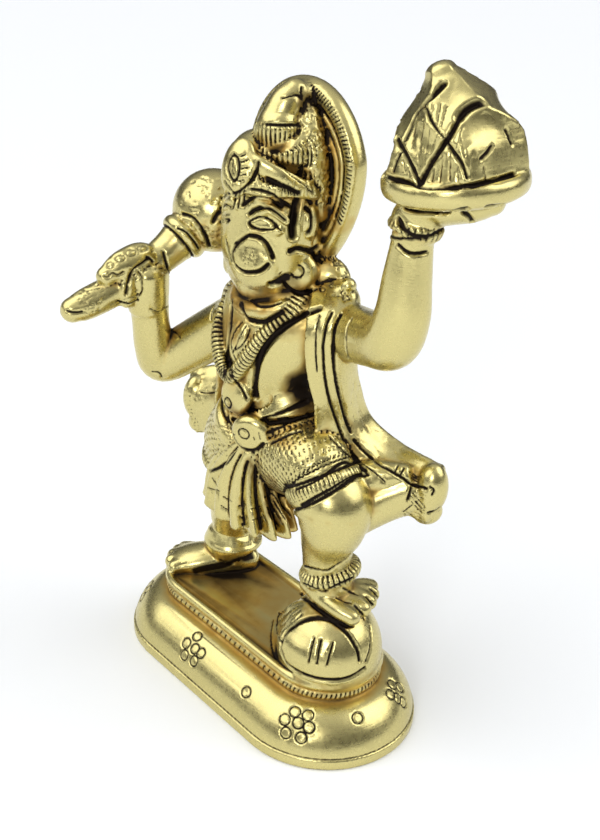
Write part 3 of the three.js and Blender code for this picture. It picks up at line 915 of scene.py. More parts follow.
@dataclass
class Dress(Group):
    """Body, belts, short breeches and the pleated front cloth."""

    pleats: int = 14
    dents_round: int = 38
    hatch_stroke: Path = ((210, 424), (213, 426))
    strokes: Strokes = (
        (0.17, 0.28, ((223, 497), (231, 501)), ((221, 506), (229, 511)), ((239, 506), (246, 508)),
         ((240, 517), (247, 520)), ((251, 509), (259, 507)), ((253, 520), (262, 518)), ((242, 524),
         (246, 534)), ((262, 514), (266, 522)), ((212, 478), (217, 486)), ((208, 488), (219, 491))),
        (0.17, 0.3, ((270, 503), (276, 514), (282, 524)), ((273, 501), (280, 512), (286, 521)),
         ((277, 500), (284, 509), (291, 517)), ((268, 508), (272, 518), (278, 526)), ((265, 497),
         (271, 494), (277, 499))),
        (0.35, 0.35, ((210, 471), (219, 468), (228, 461), (236, 450))),
        (0.36, 0.4, ((296, 489), (310, 483), (325, 475), (335, 467), (345, 462), (353, 464)),
         ((301, 506), (315, 498), (330, 490), (345, 481), (358, 475), (365, 476))),
    )
    torso: Tube = field(init=False)
    left_breeches: Tube = field(init=False)
    right_breeches: Tube = field(init=False)
    cloth: Tube = field(init=False)

    def __post_init__(self) -> None:
        """Sets out the four forms."""
        self.torso = Tube(
            (
                (2.6, 0.6, 27, 7.4, 5.6), (2.1, 0.4, 33, 9.6, 7.2), (1.3, 0.2, 38.4, 9.6, 7.2),
                (1.15, 0.2, 39, 10.5, 8.3), (0.95, 0.2, 39.8, 10.6, 8.4), (0.75, 0.2, 40.5, 10.3, 8.2),
                (0.55, 0.1, 41.1, 9.3, 7.2), (0.35, 0.1, 41.8, 10, 8), (0.1, 0.1, 42.8, 9.9, 7.9),
                (-0.1, 0, 43.5, 8.6, 7), (-0.4, -0.4, 47.2, 8, 7.2), (0, -0.8, 54, 10.8, 7.8),
                (0, -0.3, 59.5, 12, 7), (0, 0, 62.6, 8.6, 5.6), (0, 0, 66, 4.8, 4.6),
            ),
            caps=(0.5, 0.3), around=96,
        )
        self.left_breeches = Tube(
            (
                (3.6, -0.8, 34.6, 7, 7), (9.4, -2, 36.2, 6.7, 6.7), (13.4, -2.8, 36.8, 6.2, 6.2),
                (14.8, -2.9, 36, 5.5, 5.6), (15.2, -2.9, 35.5, 6.1, 6.3), (15.7, -2.9, 34.8, 6.4, 6.6),
                (16.2, -2.9, 34.1, 6.2, 6.4), (16.5, -2.8, 33.7, 5.2, 5.4),
            ),
            side=(0, 1, 0), caps=(0.4, 0.1), around=96,
        )
        self.right_breeches = Tube(
            (
                (-4.4, -0.8, 37, 7.4, 7.6), (-8, -0.8, 32.4, 6.9, 6.9), (-9.2, -0.5, 28.7, 5.9, 6.1),
                (-9.4, -0.5, 28.2, 6.4, 6.6), (-9.7, -0.5, 27.4, 6.5, 6.6), (-9.9, -0.5, 26.7, 6.2, 6.3),
                (-10, -0.5, 26.2, 5.2, 5.2),
            ),
            caps=(0.4, 0.1), around=96,
        )
        self.cloth = Tube(
            (
                (3.3, -5.6, 38, 2.2, 3), (1.2, -5.9, 33.4, 5.4, 4), (0.1, -5.9, 28.2, 8.4, 4.6),
                (0.2, -5.6, 23.2, 10, 4.9),
            ),
            caps=(0.3, 0.4), relief=self._pleated, around=168, steps=20,
        )

    def _pleated(self, angle: Array, share: Array) -> Array:
        """Folds round the cloth: a sharpened cosine of the angle that grows towards the hem."""
        fold = np.cos(self.pleats * angle)
        return 1 + (0.06 + 0.09 * share) * np.sign(fold) * np.abs(fold) ** 0.7

    def forms(self) -> list[Tube]:
        """Body, both legs of the breeches and the front cloth."""
        return [self.torso, self.left_breeches, self.right_breeches, self.cloth]

    def tarnish_and_shade(self) -> list[TarnishAndShade]:
        """The painted shade in the hollow between waist and scarf, the belt, the hems and the depth of the
        pleats.

        Returns:
            The places, in the frame of the plinth's floor.
        """
        return [
            # Painted shade in the hollow between the waist and the scarf.
            TarnishAndShade((9.4, -1.2, 48.8), (3.8, 5, 5.6), 0.7, 0.72),
            TarnishAndShade((9.6, -5.6, 41.4), (5, 4, 2.4), 0.5, 0.15),
            TarnishAndShade((12, -2.6, 56), (2.6, 3, 4.6), 0.35, 0.3),
            TarnishAndShade((17, -3, 31.8), (8, 8, 1), 0.3, 0.3),
            TarnishAndShade((9, -7.4, 30.5), (3, 3, 5), 0.45, 0.4),
            TarnishAndShade((-11, -1, 25.6), (7, 7, 1.2), 0.4, 0.3),
            TarnishAndShade((4.6, -7, 34.4), (3.4, 3, 3), 0.4, 0.4),
        ]

    def stipple(self, tube: Tube, rows: int, low: float, high: float, mark: Mark) -> list[Cut]:
        """Small dents in offset rows all over a leg of the breeches.

        Args:
            tube: That leg.
            rows: Rows of dents along it.
            low: Share of the path of the first row.
            high: Share of the path of the last row.
            mark: How dark the dents are.

        Returns:
            One short cut for each dent.
        """
        made = []
        for row, share in enumerate(np.linspace(low, high, rows)):
            offset = (row % 2) * np.pi / self.dents_round
            for angle in np.linspace(0, 2 * np.pi, self.dents_round, endpoint=False) + offset:
                ends = tube.at(np.array([angle, angle + 0.045]), np.array([share, share + 0.006]))
                made.append(Cut(ends, 0.2, 0.26, mark))
        return made

    def cuts(self, rng: np.random.Generator) -> list[Cut | PhotoCut]:
        """Hem ribs, dents, belt beads, the valleys of the pleats and the marks near their hem.

        Args:
            rng: Not used.

        Returns:
            The cuts, in the frame of the plinth's floor or in the picture.
        """
        left, right, torso = self.left_breeches, self.right_breeches, self.torso
        share = np.linspace(0.18, 0.97, 30)
        valleys = [
            Cut(self.cloth.at(np.pi * (2 * k + 1) / self.pleats, share), 0.28, 0.4)
            for k in range(self.pleats)
        ]
        across, down, widest = 5.2, 4.6, 30
        hatch = [
            PhotoCut(tuple((x + across * c + 0.6 * r, y + down * r + c) for x, y in self.hatch_stroke),
                     0.13, 0.16, Mark.SCRATCH)
            for r in range(7) for c in range(5) if across * c + 3.2 * r < widest
        ]
        return [
            *ribs(left, 54, left.knot(4), left.knot(6), 0.17, 0.26),
            *ribs(right, 48, right.knot(3), right.knot(5.2), 0.17, 0.22, mark=Mark.SCRATCH),
            *ribs(torso, 60, torso.knot(3), torso.knot(5), 0.17, 0.25),
            *self.stipple(left, 17, 0.05, 0.43, Mark.CHISEL),
            *self.stipple(right, 13, 0.05, 0.37, Mark.SCRATCH),
            *[
                round_cut(form, number, half, depth)
                for form, number, half, depth in (
                    (left, 3.4, 0.34, 0.4), (left, 6.8, 0.34, 0.4), (right, 2.6, 0.4, 0.4),
                    (right, 5.7, 0.4, 0.4), (torso, 2.5, 0.4, 0.4), (torso, 6, 0.4, 0.45),
                    (torso, 9.1, 0.4, 0.35),
                )
            ],
            *valleys, *hatch, *self.drawn(),
        ]


@dataclass
class Ornaments(Group):
    """The belt's two round clasps, the collar, the garland and its leaf pendant."""

    clasp_radius: float = 3.9
    garland_radius: float = 1.3
    punched_rings: Path = ((227.5, 403, 0.85), (243.5, 434, 0.95))
    strokes: Strokes = (
        (0.62, 0.7, ((319, 309), (305, 314), (293, 321), (281, 330), (271, 340), (263, 351), (258, 363),
         (255.5, 376), (254.5, 388), (256, 396))),
        (0.55, 0.6, ((232, 302), (231, 318), (230, 335), (228, 352), (230, 368), (231, 378))),
        (0.45, 0.45, ((241, 304), (244, 313), (251, 320), (262, 322), (271, 319), (282, 312))),
        (0.3, 0.35, ((252, 301), (260, 306), (270, 306), (281, 302)), ((222, 396), (222, 408),
         (226, 418), (231, 424)), ((235, 380), (242, 390), (247, 399))),
        (0.16, 0.25, ((242, 322), (235, 331), (231, 343), (233, 354), (237, 362)), ((246, 326),
         (240, 336), (236, 346), (233, 352)), ((250, 329), (247, 338), (241, 346), (235, 350))),
        (0.4, 0.4, ((231, 425), (233, 436), (238, 445), (246, 450), (256, 450), (263, 444))),
        (0.4, 0.45, ((262, 420), (275, 415), (290, 409), (307, 401))),
        (0.36, 0.4, ((268, 433), (280, 427), (294, 420), (308, 414))),
        (0.34, 0.4, ((270, 444), (282, 438), (293, 433), (302, 431))),
    )
    garland: Tube = field(init=False)

    def __post_init__(self) -> None:
        """Sets out the garland."""
        r = self.garland_radius
        self.garland = Tube(
            tuple((*p, r, r) for p in (
                (6.4, 1, 64.2), (7.2, -3.8, 61), (4.9, -7.2, 57.2), (2.2, -8.7, 52.6), (-1, -9.1, 48.8),
                (-4.4, -8.6, 50.6), (-7.2, -6.8, 55), (-7.7, -3.4, 60.6), (-6.4, 1, 64.2),
            )),
            side=(0, -1, 0.2), around=32, steps=14,
        )

    def clasp(self, centre: Point, axis: Point, share: float) -> Turned:
        """A round clasp with a soft edge, at a share of the clasps' full radius.

        Args:
            centre: Its middle.
            axis: The way it faces.
            share: Its share of the full radius.

        Returns:
            The clasp.
        """
        r = share * self.clasp_radius
        return Turned(
            ((0, -1.6), (0.87 * r, -1.4), (r, -0.2), (0.97 * r, 0.3), (0.8 * r, 0.85), (0.6 * r, 0.95),
             (0, 1.1)),
            centre, axis,
        )

    def forms(self) -> list[Tube | Turned | Ball]:
        """Both clasps, the garland, the collar, and the pendant's two leaves.

        Returns:
            The forms, in the frame of the plinth's floor.
        """
        collar = tuple(
            (0.2 + 6.3 * math.cos(a), -1.6 + 5.6 * math.sin(a), 62.8 + 2.3 * math.sin(a), 1.2, 1.2)
            for a in np.linspace(0, 2 * np.pi, 17)
        )
        return [
            self.clasp((-0.6, -8.3, 45.4), (0.1, -1, 0.1), 0.82),
            self.clasp((3.6, -8.2, 39.8), (0.45, -0.88, -0.15), 0.92),
            self.garland,
            Tube(collar, side=(0, 0, 1), around=24, steps=6),
            Ball((-0.6, -8.1, 54.6), (1.5, 1.3, 3.6), 0, -0.1),
            Ball((1.2, -8.2, 55.2), (1.3, 1.2, 3.0), 0.3, -0.1),
        ]

    def cuts(self, rng: np.random.Generator) -> list[Cut | PhotoCut]:
        """Ribs across the garland, the dark line beside it, the clasps' rings and the leaf's lines.

        Args:
            rng: Not used.

        Returns:
            The cuts, in the frame of the plinth's floor or in the picture.
        """
        outside = np.linspace(-1.4, 1.4, 9)
        across = [Cut(self.garland.at(outside, share), 0.2, 0.32) for share in np.linspace(0.03, 0.97, 58)]
        return across + self.drawn()

    def tarnish_and_shade(self) -> list[TarnishAndShade]:
        """The chest inside the garland, the throat, and the ground round the clasps.

        Returns:
            The places, in the frame of the plinth's floor.
        """
        return [
            TarnishAndShade((-1.4, -7.4, 57.4), (4.6, 3, 6), 0.5, 0.2),
            TarnishAndShade((-0.4, -4.6, 61.8), (6.4, 5, 1.8), 0.5, 0.15),
            TarnishAndShade((0.6, -8, 43), (3.4, 2, 2.4), 0.4, 0.4),
            TarnishAndShade((-6.4, -7.4, 52.4), (1.6, 2, 6), 0.5, 0.4),
            TarnishAndShade((7.6, -5.4, 59.6), (3, 3, 3), 0.35, 0.3),
        ]


@dataclass
class RaisedMountain(Group):
    """The left arm, its bangle, the flat hand and the mountain on it."""

    radius: float = 10.0
    centre: Point = (33, 1.4, 88.4)
    sides: int = 5
    strokes: Strokes = (
        (0.5, 0.6, ((444, 84), (436, 92), (429, 99), (423, 106))),
        (0.36, 0.45, ((423, 106), (417, 113), (413, 121), (409, 131), (405, 140))),
        (0.26, 0.4, ((425, 107), (430, 117), (436, 127), (443, 138))),
        (0.72, 0.75, ((482, 102), (474, 105), (466, 110), (460, 117))),
        (0.48, 0.65, ((460, 117), (455, 126), (450, 135), (446, 141), (440, 149), (434, 158),
         (428, 168), (424, 176), (421, 183))),
        (0.34, 0.5, ((447, 144), (453, 152), (459, 160), (464, 169), (468, 178))),
        (0.36, 0.5, ((397, 138), (402, 147), (407, 157), (412, 167), (416, 176), (419, 183))),
        (0.24, 0.35, ((401, 152), (397, 160), (393, 172))),
        (0.34, 0.4, ((492, 146), (487, 153), (481, 159)), ((398, 245), (405, 251), (414, 254),
         (427, 252))),
        (0.32, 0.4, ((506, 130), (509, 136), (512, 144))),
        (0.42, 0.55, ((383, 176), (392, 179), (402, 181), (412, 184), (422, 187), (440, 188),
         (460, 187), (475, 185), (490, 182), (501, 179), (514, 175))),
        (0.5, 0.5, ((402, 206), (412, 210), (425, 212), (445, 212), (466, 209)), ((487, 207),
         (494, 206), (501, 205)), ((398, 219), (404, 229), (413, 236), (427, 238))),
        (0.45, 0.5, ((463, 211), (468, 216), (472, 222))),
    )
    scratches: Strokes = (
        (0.16, 0.2, ((434, 104), (430, 120)), ((441, 103), (437, 125)), ((447, 106), (441, 128)),
         ((418, 114), (411, 150)), ((424, 117), (418, 160)), ((430, 124), (424, 165)), ((437, 134),
         (430, 152)), ((434, 168), (432, 182)), ((443, 156), (440, 182)), ((450, 152), (450, 181)),
         ((457, 162), (458, 182)), ((462, 128), (456, 148)), ((460, 134), (465, 158)), ((474, 150),
         (471, 179)), ((484, 166), (486, 180)), ((413, 150), (418, 152)), ((403, 160), (405, 172)),
         ((396, 160), (392, 172)), ((408, 168), (410, 178))),
    )
    arm: Tube = field(init=False)
    peak: Tube = field(init=False)
    disc: Turned = field(init=False)

    def __post_init__(self) -> None:
        """Sets out the arm, the disc and the peak."""
        x, y, z = self.centre
        r = self.radius
        self.arm = Tube(
            (
                (9, 1, 58.6, 4.8, 4.8), (15, 1.4, 59.4, 4.4, 4.5), (22, -0.8, 61.2, 4.1, 4.2),
                (27.5, -2.3, 63.2, 4.2, 4.3), (29.6, -2.7, 67.6, 4, 4), (29.9, -2.7, 73, 3.5, 3.5),
                (30.1, -2.4, 79.4, 2.9, 2.9), (30.2, -2.3, 79.9, 3.6, 3.7), (30.25, -2.25, 80.6, 3.85, 3.95),
                (30.3, -2.2, 81.3, 3.6, 3.7), (30.3, -2.2, 81.8, 3, 3),
            ),
            side=(0, 1, 0), caps=(1, 0.2),
        )
        self.disc = Turned(
            ((0, -3.4), (0.88 * r, -3.2), (0.97 * r, -2.6), (0.995 * r, -1.9), (0.995 * r, -0.9),
             (0.97 * r, -0.3), (0.93 * r, 0), (0, 0.2)),
            (x, y, z), (-0.08, -0.08, 1),
        )
        self.peak = Tube(
            tuple(
                (x + dx, y + dy, z + rise, share * r, share * r)
                for dx, dy, rise, share in (
                    (0, 0, -1, 1), (0, 0, 1.6, 0.96), (-0.3, -0.3, 4.6, 0.89), (-0.9, -1, 8, 0.68),
                    (-1.5, -1.7, 10.6, 0.41), (-2.1, -2.3, 12.5, 0.22),
                )
            ),
            side=(0.66, 0.75, 0), caps=(0.1, 0.6), relief=self._faceted, around=120, steps=14,
        )

    def _faceted(self, angle: Array, share: Array) -> Array:
        """Flattens the peak in broad facets: a straight-sided outline, mixed with the round one, that
        turns by half a side above the middle of the peak.

        Args:
            angle: Angles round the peak.
            share: Shares of its height.

        Returns:
            What the round peak's radius is multiplied by.
        """
        side = 2 * np.pi / self.sides
        turned = angle + 0.3 + 0.5 * side * window(share, 0.52, 2, 0.2)
        outline = np.cos(side / 2) / np.cos(np.mod(turned, side) - side / 2)
        return 0.14 + 0.86 * outline

    def forms(self) -> list[Tube | Turned]:
        """Arm, hand, disc and peak.

        Returns:
            The forms, in the frame of the plinth's floor.
        """
        hand = Tube(
            ((30.2, -2.4, 81.4, 3.2, 3.4), (31.4, -0.8, 84, 5.2, 3.4), (35, 2.8, 84.4, 4.8, 2.6),
             (36.8, 4.8, 84.8, 3.6, 2)),
            side=(0.75, -0.66, 0),
        )
        return [self.arm, hand, self.disc, self.peak, Ball((36.2, 6.9, 88.6), (3.2, 3.1, 4.6))]

    def tarnish_and_shade(self) -> list[TarnishAndShade]:
        """The crease at the mountain's foot, the underside of the disc, and the bangle.

        Returns:
            The places, in the frame of the plinth's floor.
        """
        x, y, z = self.centre
        return [
            TarnishAndShade((x, y, z + 0.2), (self.radius + 1.5, self.radius + 1.5, 0.9), 0.3),
            TarnishAndShade((x + 1, y + 1.4, z - 3.4), (6, 6, 1), 0.35, 0.3),
            TarnishAndShade((30.1, -2.4, 80.4), (4.4, 4.4, 2.2), 0.4, 0.15),
        ]

    def cuts(self, rng: np.random.Generator) -> list[Cut | PhotoCut]:
        """The crossed grooves and fine strokes of the mountain, its foot line, the bangle and fingers.

        Args:
            rng: Not used.

        Returns:
            The cuts, in the frame of the plinth's floor or in the picture.
        """
        share = np.linspace(0.24, 0.86, 40)
        crossed = [
            Cut(self.peak.at(2 * np.pi * k / self.sides + way * 1.5 * (share - share[0]), share), 0.42, 0.45,
                hidden_only=True)
            for k in range(self.sides) for way in (1, -1)
        ]
        upright = np.linspace(0.25, 0.62, 14)
        fine = [
            Cut(self.peak.at(angle, upright), 0.13, 0.14, Mark.SHALLOW, hidden_only=True)
            for angle in np.linspace(0, 2 * np.pi, 56, endpoint=False)
        ]
        foot = self.disc.at(np.linspace(0, 2 * np.pi, 160), 0.93) + (0, 0, 0.4)
        return [
            *crossed, *fine, *self.drawn(),
            Cut(foot, 0.55, 0.6, hidden_only=True),
            *ribs(self.arm, 26, self.arm.knot(7), self.arm.knot(9), 0.18, 0.26),
            round_cut(self.arm, 6.6, 0.3, 0.3),
        ]


@dataclass
class ShoulderedMace(Group):
    """The right arm, its fist, and the mace that lies on the shoulder."""

    tip: Point = (-23.6, -26, 56.4)
    ball: Point = (-19.4, 0.8, 70.2)
    ball_radius: float = 7.2
    sag: float = 2.0
    knuckles: Path = ((110, 265, 4, 3.4), (120, 258, 5, 3.6), (131, 252.5, 5, 3.4), (142, 248, 5, 2.8))
    strokes: Strokes = (
        (0.42, 0.55, ((182, 214), (192, 218), (200, 227), (206, 238), (209, 247))),
        (0.3, 0.35, ((177, 228), (186, 232), (194, 241), (199, 249))),
        (0.32, 0.4, ((163, 252), (166, 262), (169, 272), (170, 277))),
        (0.3, 0.4, ((147, 257), (150, 258), (153, 262))),
        (0.25, 0.3, ((118, 301), (128, 304), (138, 300))),
        (0.3, 0.25, ((67, 311), (74, 312.5), (82, 312))),
        (0.22, 0.3, ((152, 372), (159, 373), (162, 378)), ((214, 306), (211, 314), (211, 320))),
        (0.45, 0.4, ((213, 222), (216, 216), (220, 212))),
    )
    scratches: Strokes = (
        (0.3, 0.3, ((104, 276), (108, 277), (112, 273), (118, 275), (124, 272))),
        (0.42, 0.45, ((148, 259), (142, 264), (136, 268), (131, 275), (128, 284), (126, 294))),
        (0.25, 0.25, ((137, 270), (141, 276), (142, 284))),
        (0.2, 0.25, ((141, 280), (142, 290), (139, 296))),
        (0.2, 0.2, ((150, 309), (160, 312), (168, 306))),
        (0.22, 0.2, ((170, 330), (176, 333), (180, 338))),
    )
    shaft: Tube = field(init=False)
    head: Ball = field(init=False)
    fist: Tube = field(init=False)

    def __post_init__(self) -> None:
        """Sets out the shaft, the ball and the fist along the mace's own line."""
        self.shaft = Tube(
            tuple(
                (*self.along(share), radius, radius)
                for share, radius in (
                    (0.05, 2.1), (0.14, 2.6), (0.34, 2.7), (0.5, 2.75), (0.66, 3), (0.74, 3.4), (0.77, 4.2),
                    (0.8, 4.3), (0.83, 3.8), (0.9, 3.9),
                )
            ),
            caps=(1, 0.2),
        )
        r = self.ball_radius
        self.head = Ball(self.ball, (r, 0.97 * r, 0.97 * r), around=72)
        self.fist = Tube(
            (
                (-21.7, -19.2, 61.6, 1.7, 1.7), (-21.6, -16.8, 62.6, 2.5, 2.4), (-21.5, -14.8, 63, 2.9, 2.7),
                (-21.3, -12.9, 63.3, 3, 2.7), (-21.1, -11, 62.9, 2.6, 2.4),
            ),
            side=(0, 0, 1),
        )

    def along(self, share: float) -> Point:
        """The point at a share of the way from the mace's tip to its ball, on a line that sags by half a
        sine under the fist."""
        x, y, z = (a + share * (b - a) for a, b in zip(self.tip, self.ball))
        return x, y, z - 0.4 * (1 - share) - self.sag * math.sin(math.pi * min(1, 1.1 * share))

    def forms(self) -> list[Tube | Ball]:
        """Arm, palm, fist, shaft and ball.

        Returns:
            The forms, in the frame of the plinth's floor.
        """
        arm = Tube(
            (
                (-6.5, -1, 55.8, 4.9, 4.9), (-12.4, -2.6, 51.8, 4.4, 4.5), (-18, -5, 47.3, 4.1, 4.3),
                (-22.2, -8, 43.8, 3.7, 3.8), (-22, -9.8, 47.2, 3.4, 3.5), (-21.2, -11, 52, 3.1, 3.2),
                (-21, -11.4, 55.6, 3.2, 3.3),
            ),
            side=(0.6, -0.8, 0),
        )
        palm = Tube(
            ((-21, -11.6, 54.8, 3.3, 3.4), (-20.8, -11.9, 58, 3.6, 3.7), (-20.6, -12.1, 61.2, 3.7, 3.8)),
            caps=(0.3, 0.6),
        )
        return [arm, palm, self.fist, self.shaft, self.head, Ball((-20.6, -16, 59.4), (2, 2.2, 3.6))]

    def tarnish_and_shade(self) -> list[TarnishAndShade]:
        """The far side of the ball, the neck of the shaft, the fist and the crook of the arm.

        Returns:
            The places, in the frame of the plinth's floor.
        """
        x, y, z = self.ball
        return [
            TarnishAndShade((x + 5.6, y - 1.6, z - 3), (4, 6, 6), 0.55, 0.2),
            TarnishAndShade(self.along(0.84), (4, 4, 3), 0.45, 0.25),
            TarnishAndShade(self.along(0.7), (4, 3, 3.4), 0.4, 0.1),
            TarnishAndShade((-21.4, -12, 60.6), (4.4, 3.6, 3.4), 0.35, 0.15),
            TarnishAndShade((-19.6, -8.6, 49.4), (2, 2.4, 2.4), 0.3, 0.2),
        ]

    def cuts(self, rng: np.random.Generator) -> list[Cut | PhotoCut]:
        """Rings at the neck, pits along the shaft and on half the ball, and the fingers' outlines.

        Args:
            rng: Where the random draws come from.

        Returns:
            The cuts, in the frame of the plinth's floor or in the picture.
        """
        a = np.linspace(0, 2 * np.pi, 17)
        knuckles = [
            PhotoCut(tuple(zip(x + across * np.cos(a), y + deep * np.sin(a))), 0.17, 0.24, Mark.SCRATCH)
            for x, y, across, deep in self.knuckles
        ]
        return [
            *self.drawn(), *knuckles,
            round_cut(self.shaft, 5.2, 0.3, 0.3),
            *pits(self.shaft, 260, (0, 2 * np.pi), (0.05, 0.42), 0.2, 0.14, rng),
            *pits(self.head, 150, (-1.6, 1.2), (-0.8, 1.1), 0.3, 0.18, rng, Mark.SHALLOW),
        ]


@dataclass
class Head(Group):
    """Head and face, ears, earrings, and the hair down to the shoulders."""

    face_turn: float = math.radians(16)
    centre: tuple[float, float] = (-0.6, -1.9)
    boldness: float = 1.3
    dots: int = 15
    muzzle: tuple[float, float] = (249, 257)
    curls: tuple[int, ...] = (190, 130, 110, 6, 100)
    punched_rings: Path = ((297.5, 271.5, 1.0),)
    strokes: Strokes = (
        (0.2, 0.3, ((249, 221.5), (255, 218.5), (262, 217.5), (268, 219), (274, 223), (279, 228),
         (282, 230))),
        (0.24, 0.35, ((248, 222.5), (253, 227.5), (260, 230), (268, 230), (273, 228.5), (276, 225))),
        (0.34, 0.42, ((249, 214), (255, 209.5), (263, 207.5), (271, 209), (278, 213.5), (285, 220))),
        (0.3, 0.38, ((243, 205), (250, 199.5), (260, 197), (269, 199), (276, 202.5), (282, 207))),
        (0.32, 0.42, ((251, 190), (260, 191), (268, 193.5), (276, 197.5), (284, 203), (291, 207))),
        (0.16, 0.28, ((236, 194), (234.5, 201), (233, 208)), ((240, 193), (239, 200), (237.5, 208))),
        (0.22, 0.32, ((245, 192), (243.5, 199), (242, 205))),
        (0.3, 0.42, ((233, 262), (232, 253), (235, 246), (240, 240.5), (247, 236.5))),
        (0.34, 0.45, ((249, 236), (257, 237), (264, 241.5), (269, 248.5), (273, 258))),
        (0.36, 0.5, ((235, 266), (240, 270.5), (247, 273), (256, 272.5), (263, 269.5), (268, 265))),
        (0.25, 0.3, ((222, 198), (225, 195), (229, 194)), ((221, 208), (225, 205), (230, 207))),
        (0.22, 0.28, ((221, 222), (225, 219), (229, 220), (226, 223))),
        (0.62, 0.8, ((297, 201), (295, 210), (293.5, 219), (292.5, 228), (293, 236))),
        (0.38, 0.45, ((306, 208), (310, 213), (312, 220), (311.5, 228), (308, 233))),
        (0.4, 0.45, ((290, 251.5), (297, 249), (305, 250), (311, 251), (317, 247))),
        (0.26, 0.3, ((311, 252), (316, 257), (321, 262))),
        (0.3, 0.35, ((281, 279), (288, 287), (297, 292), (306, 293), (316, 289))),
        # A dark stroke that paints the shadow under the jaw, beside the earring.
        (0.5, 0.45, ((271, 284), (278, 281.5), (286, 277))),
        (0.18, 0.2, ((226, 240), (229, 252), (231, 262))),
    )
    hair: list[Ball] = field(init=False)

    def __post_init__(self) -> None:
        """Sets out the lumps of hair."""
        self.hair = [
            Ball((-0.4, 1, 72), (7.2, 4, 9)),
            Ball((6.6, 3.2, 65.2), (4.5, 3.1, 3.9), 0.3),
            Ball((11, 2.3, 63.2), (3.7, 2.9, 3.2), 0.2),
            Ball((12.8, 2.5, 66), (1.3, 1.3, 1.3), around=24),
            Ball((-8, 3.4, 64.4), (4.2, 3, 4.2), -0.3),
        ]

    def on_face(self, right: float, out: float, z: float) -> Point:
        """A point by its way to the figure's left, out of the face, and up.

        Args:
            right: How far to the figure's left of the head's middle.
            out: How far in front of it.
            z: Its height.

        Returns:
            The point.
        """
        across = (math.cos(self.face_turn), math.sin(self.face_turn))
        facing = (math.sin(self.face_turn), -math.cos(self.face_turn))
        return (
            self.centre[0] + right * across[0] + out * facing[0],
            self.centre[1] + right * across[1] + out * facing[1],
            z,
        )

    def forms(self) -> list[Tube | Ball | Turned]:
        """Skull and jaw, muzzle, nose, brows, eyes, ears, earrings and hair.

        Returns:
            The forms, in the frame of the plinth's floor.
        """
        turn = self.face_turn
        at = self.on_face
        skull = Tube(
            tuple(
                (*at(-0.4, out, z), wide, deep)
                for out, z, wide, deep in (
                    (2.2, 61.2, 3.2, 3), (1.4, 64, 5.9, 4.8), (0.5, 68.5, 7.8, 6.2), (0, 74.5, 8.1, 6.4),
                    (-0.2, 80, 7.3, 6.2)
                )
            ),
            side=(math.cos(turn), math.sin(turn), 0), caps=(0.6, 0.3), around=96,
        )
        brows = [
            Tube(
                tuple((*at(sign * r, out, z), w, d) for r, out, z, w, d in (
                    (1.1, 5.8, 75.8, 0.6, 0.5), (3.4, 5.8, 77.2, 0.7, 0.55), (5.8, 4.6, 75.6, 0.5, 0.45))),
                side=(0, 0, 1), around=20,
            )
            for sign in (1, -1)
        ]
        earring = ((0, -1.6), (2.7, -1.4), (3.05, -0.5), (2.95, 0.2), (2.2, 0.8), (1.4, 0.9), (0, 1.0))
        return [
            skull,
            Ball(at(0, 4.2, 68.2), (5, 2.9, 4.9), turn, around=64),
            Ball(at(0, 5.6, 73.4), (1.1, 1.2, 2.6), turn),
            *brows,
            Ball(at(3.5, 5.1, 74), (2, 0.9, 0.95), turn),
            Ball(at(-3.5, 5.1, 74), (2, 0.9, 0.95), turn),
            Ball(at(7.4, 0.4, 75), (1.2, 1.9, 2.9), turn + 0.4),
            Ball(at(-7.4, 0.4, 75), (1.2, 1.9, 2.9), turn - 0.4),
            Turned(earring, at(6.5, 1.8, 67), (0.75, -0.66, 0.1)),
            Turned(earring, at(-6.5, 1.8, 67), (-0.75, -0.66, 0.1)),
            *self.hair,
        ]

    def tarnish_and_shade(self) -> list[TarnishAndShade]:
        """Under the jaw, behind the ears, at the inner corners of the eyes, and the hair.

        Returns:
            The places, in the frame of the plinth's floor.
        """
        return [
            TarnishAndShade(self.on_face(0, 2.4, 61.4), (7, 6, 1.6), 0.5, 0.2),
            TarnishAndShade(self.on_face(5.6, 2.6, 65.4), (2, 3, 2.4), 0.5, 0.55),
            TarnishAndShade(self.on_face(6, 1.6, 75), (1, 2, 3), 0.4, 0.5),
            TarnishAndShade(self.on_face(1.2, 6, 73.4), (1.6, 1.4, 1.8), 0.45, 0.1),
            TarnishAndShade((8, 3, 64.6), (6, 4.4, 6), 0.3, 0.12),
            TarnishAndShade((11, 0, 59.6), (3.4, 3.4, 2.4), 0.5, 0.4),
        ]

    def cuts(self, rng: np.random.Generator) -> list[Cut | PhotoCut]:
        """The lines of brows, eyes, muzzle, mouth, ear and earring, the curls of the hair, and a dark stroke
        painted as the shadow under the jaw.

        Args:
            rng: Where the random draws come from.

        Returns:
            The cuts, in the frame of the plinth's floor or in the picture.
        """
        x, y = self.muzzle
        dots = []
        for k, reach in enumerate(np.sqrt(np.arange(self.dots) / self.dots)):
            right, down = 8 * reach * math.cos(2.4 * k), 8 * reach * math.sin(2.4 * k)
            dot = ((x + right, y + down), (x + 0.4 + right, y + 1 + down))
            dots.append(PhotoCut(dot, 0.17, 0.2, Mark.SCRATCH))
        curls = []
        for lump, count in zip(self.hair, self.curls):
            reach = 0.42 / lump.radii[2]
            for _ in range(count):
                longitude, latitude = rng.uniform(0, 2 * np.pi), rng.uniform(-1.2, 1.3)
                a = np.linspace(0, rng.uniform(1, 3.5), 8) + rng.uniform(0, 6.28)
                line = lump.at(longitude + reach * np.cos(a) / max(math.cos(latitude), 0.3),
                               latitude + reach * np.sin(a))
                curls.append(Cut(line, 0.2, 0.24, Mark.SCRATCH))
        return [*self.drawn(self.boldness), *dots, *curls]


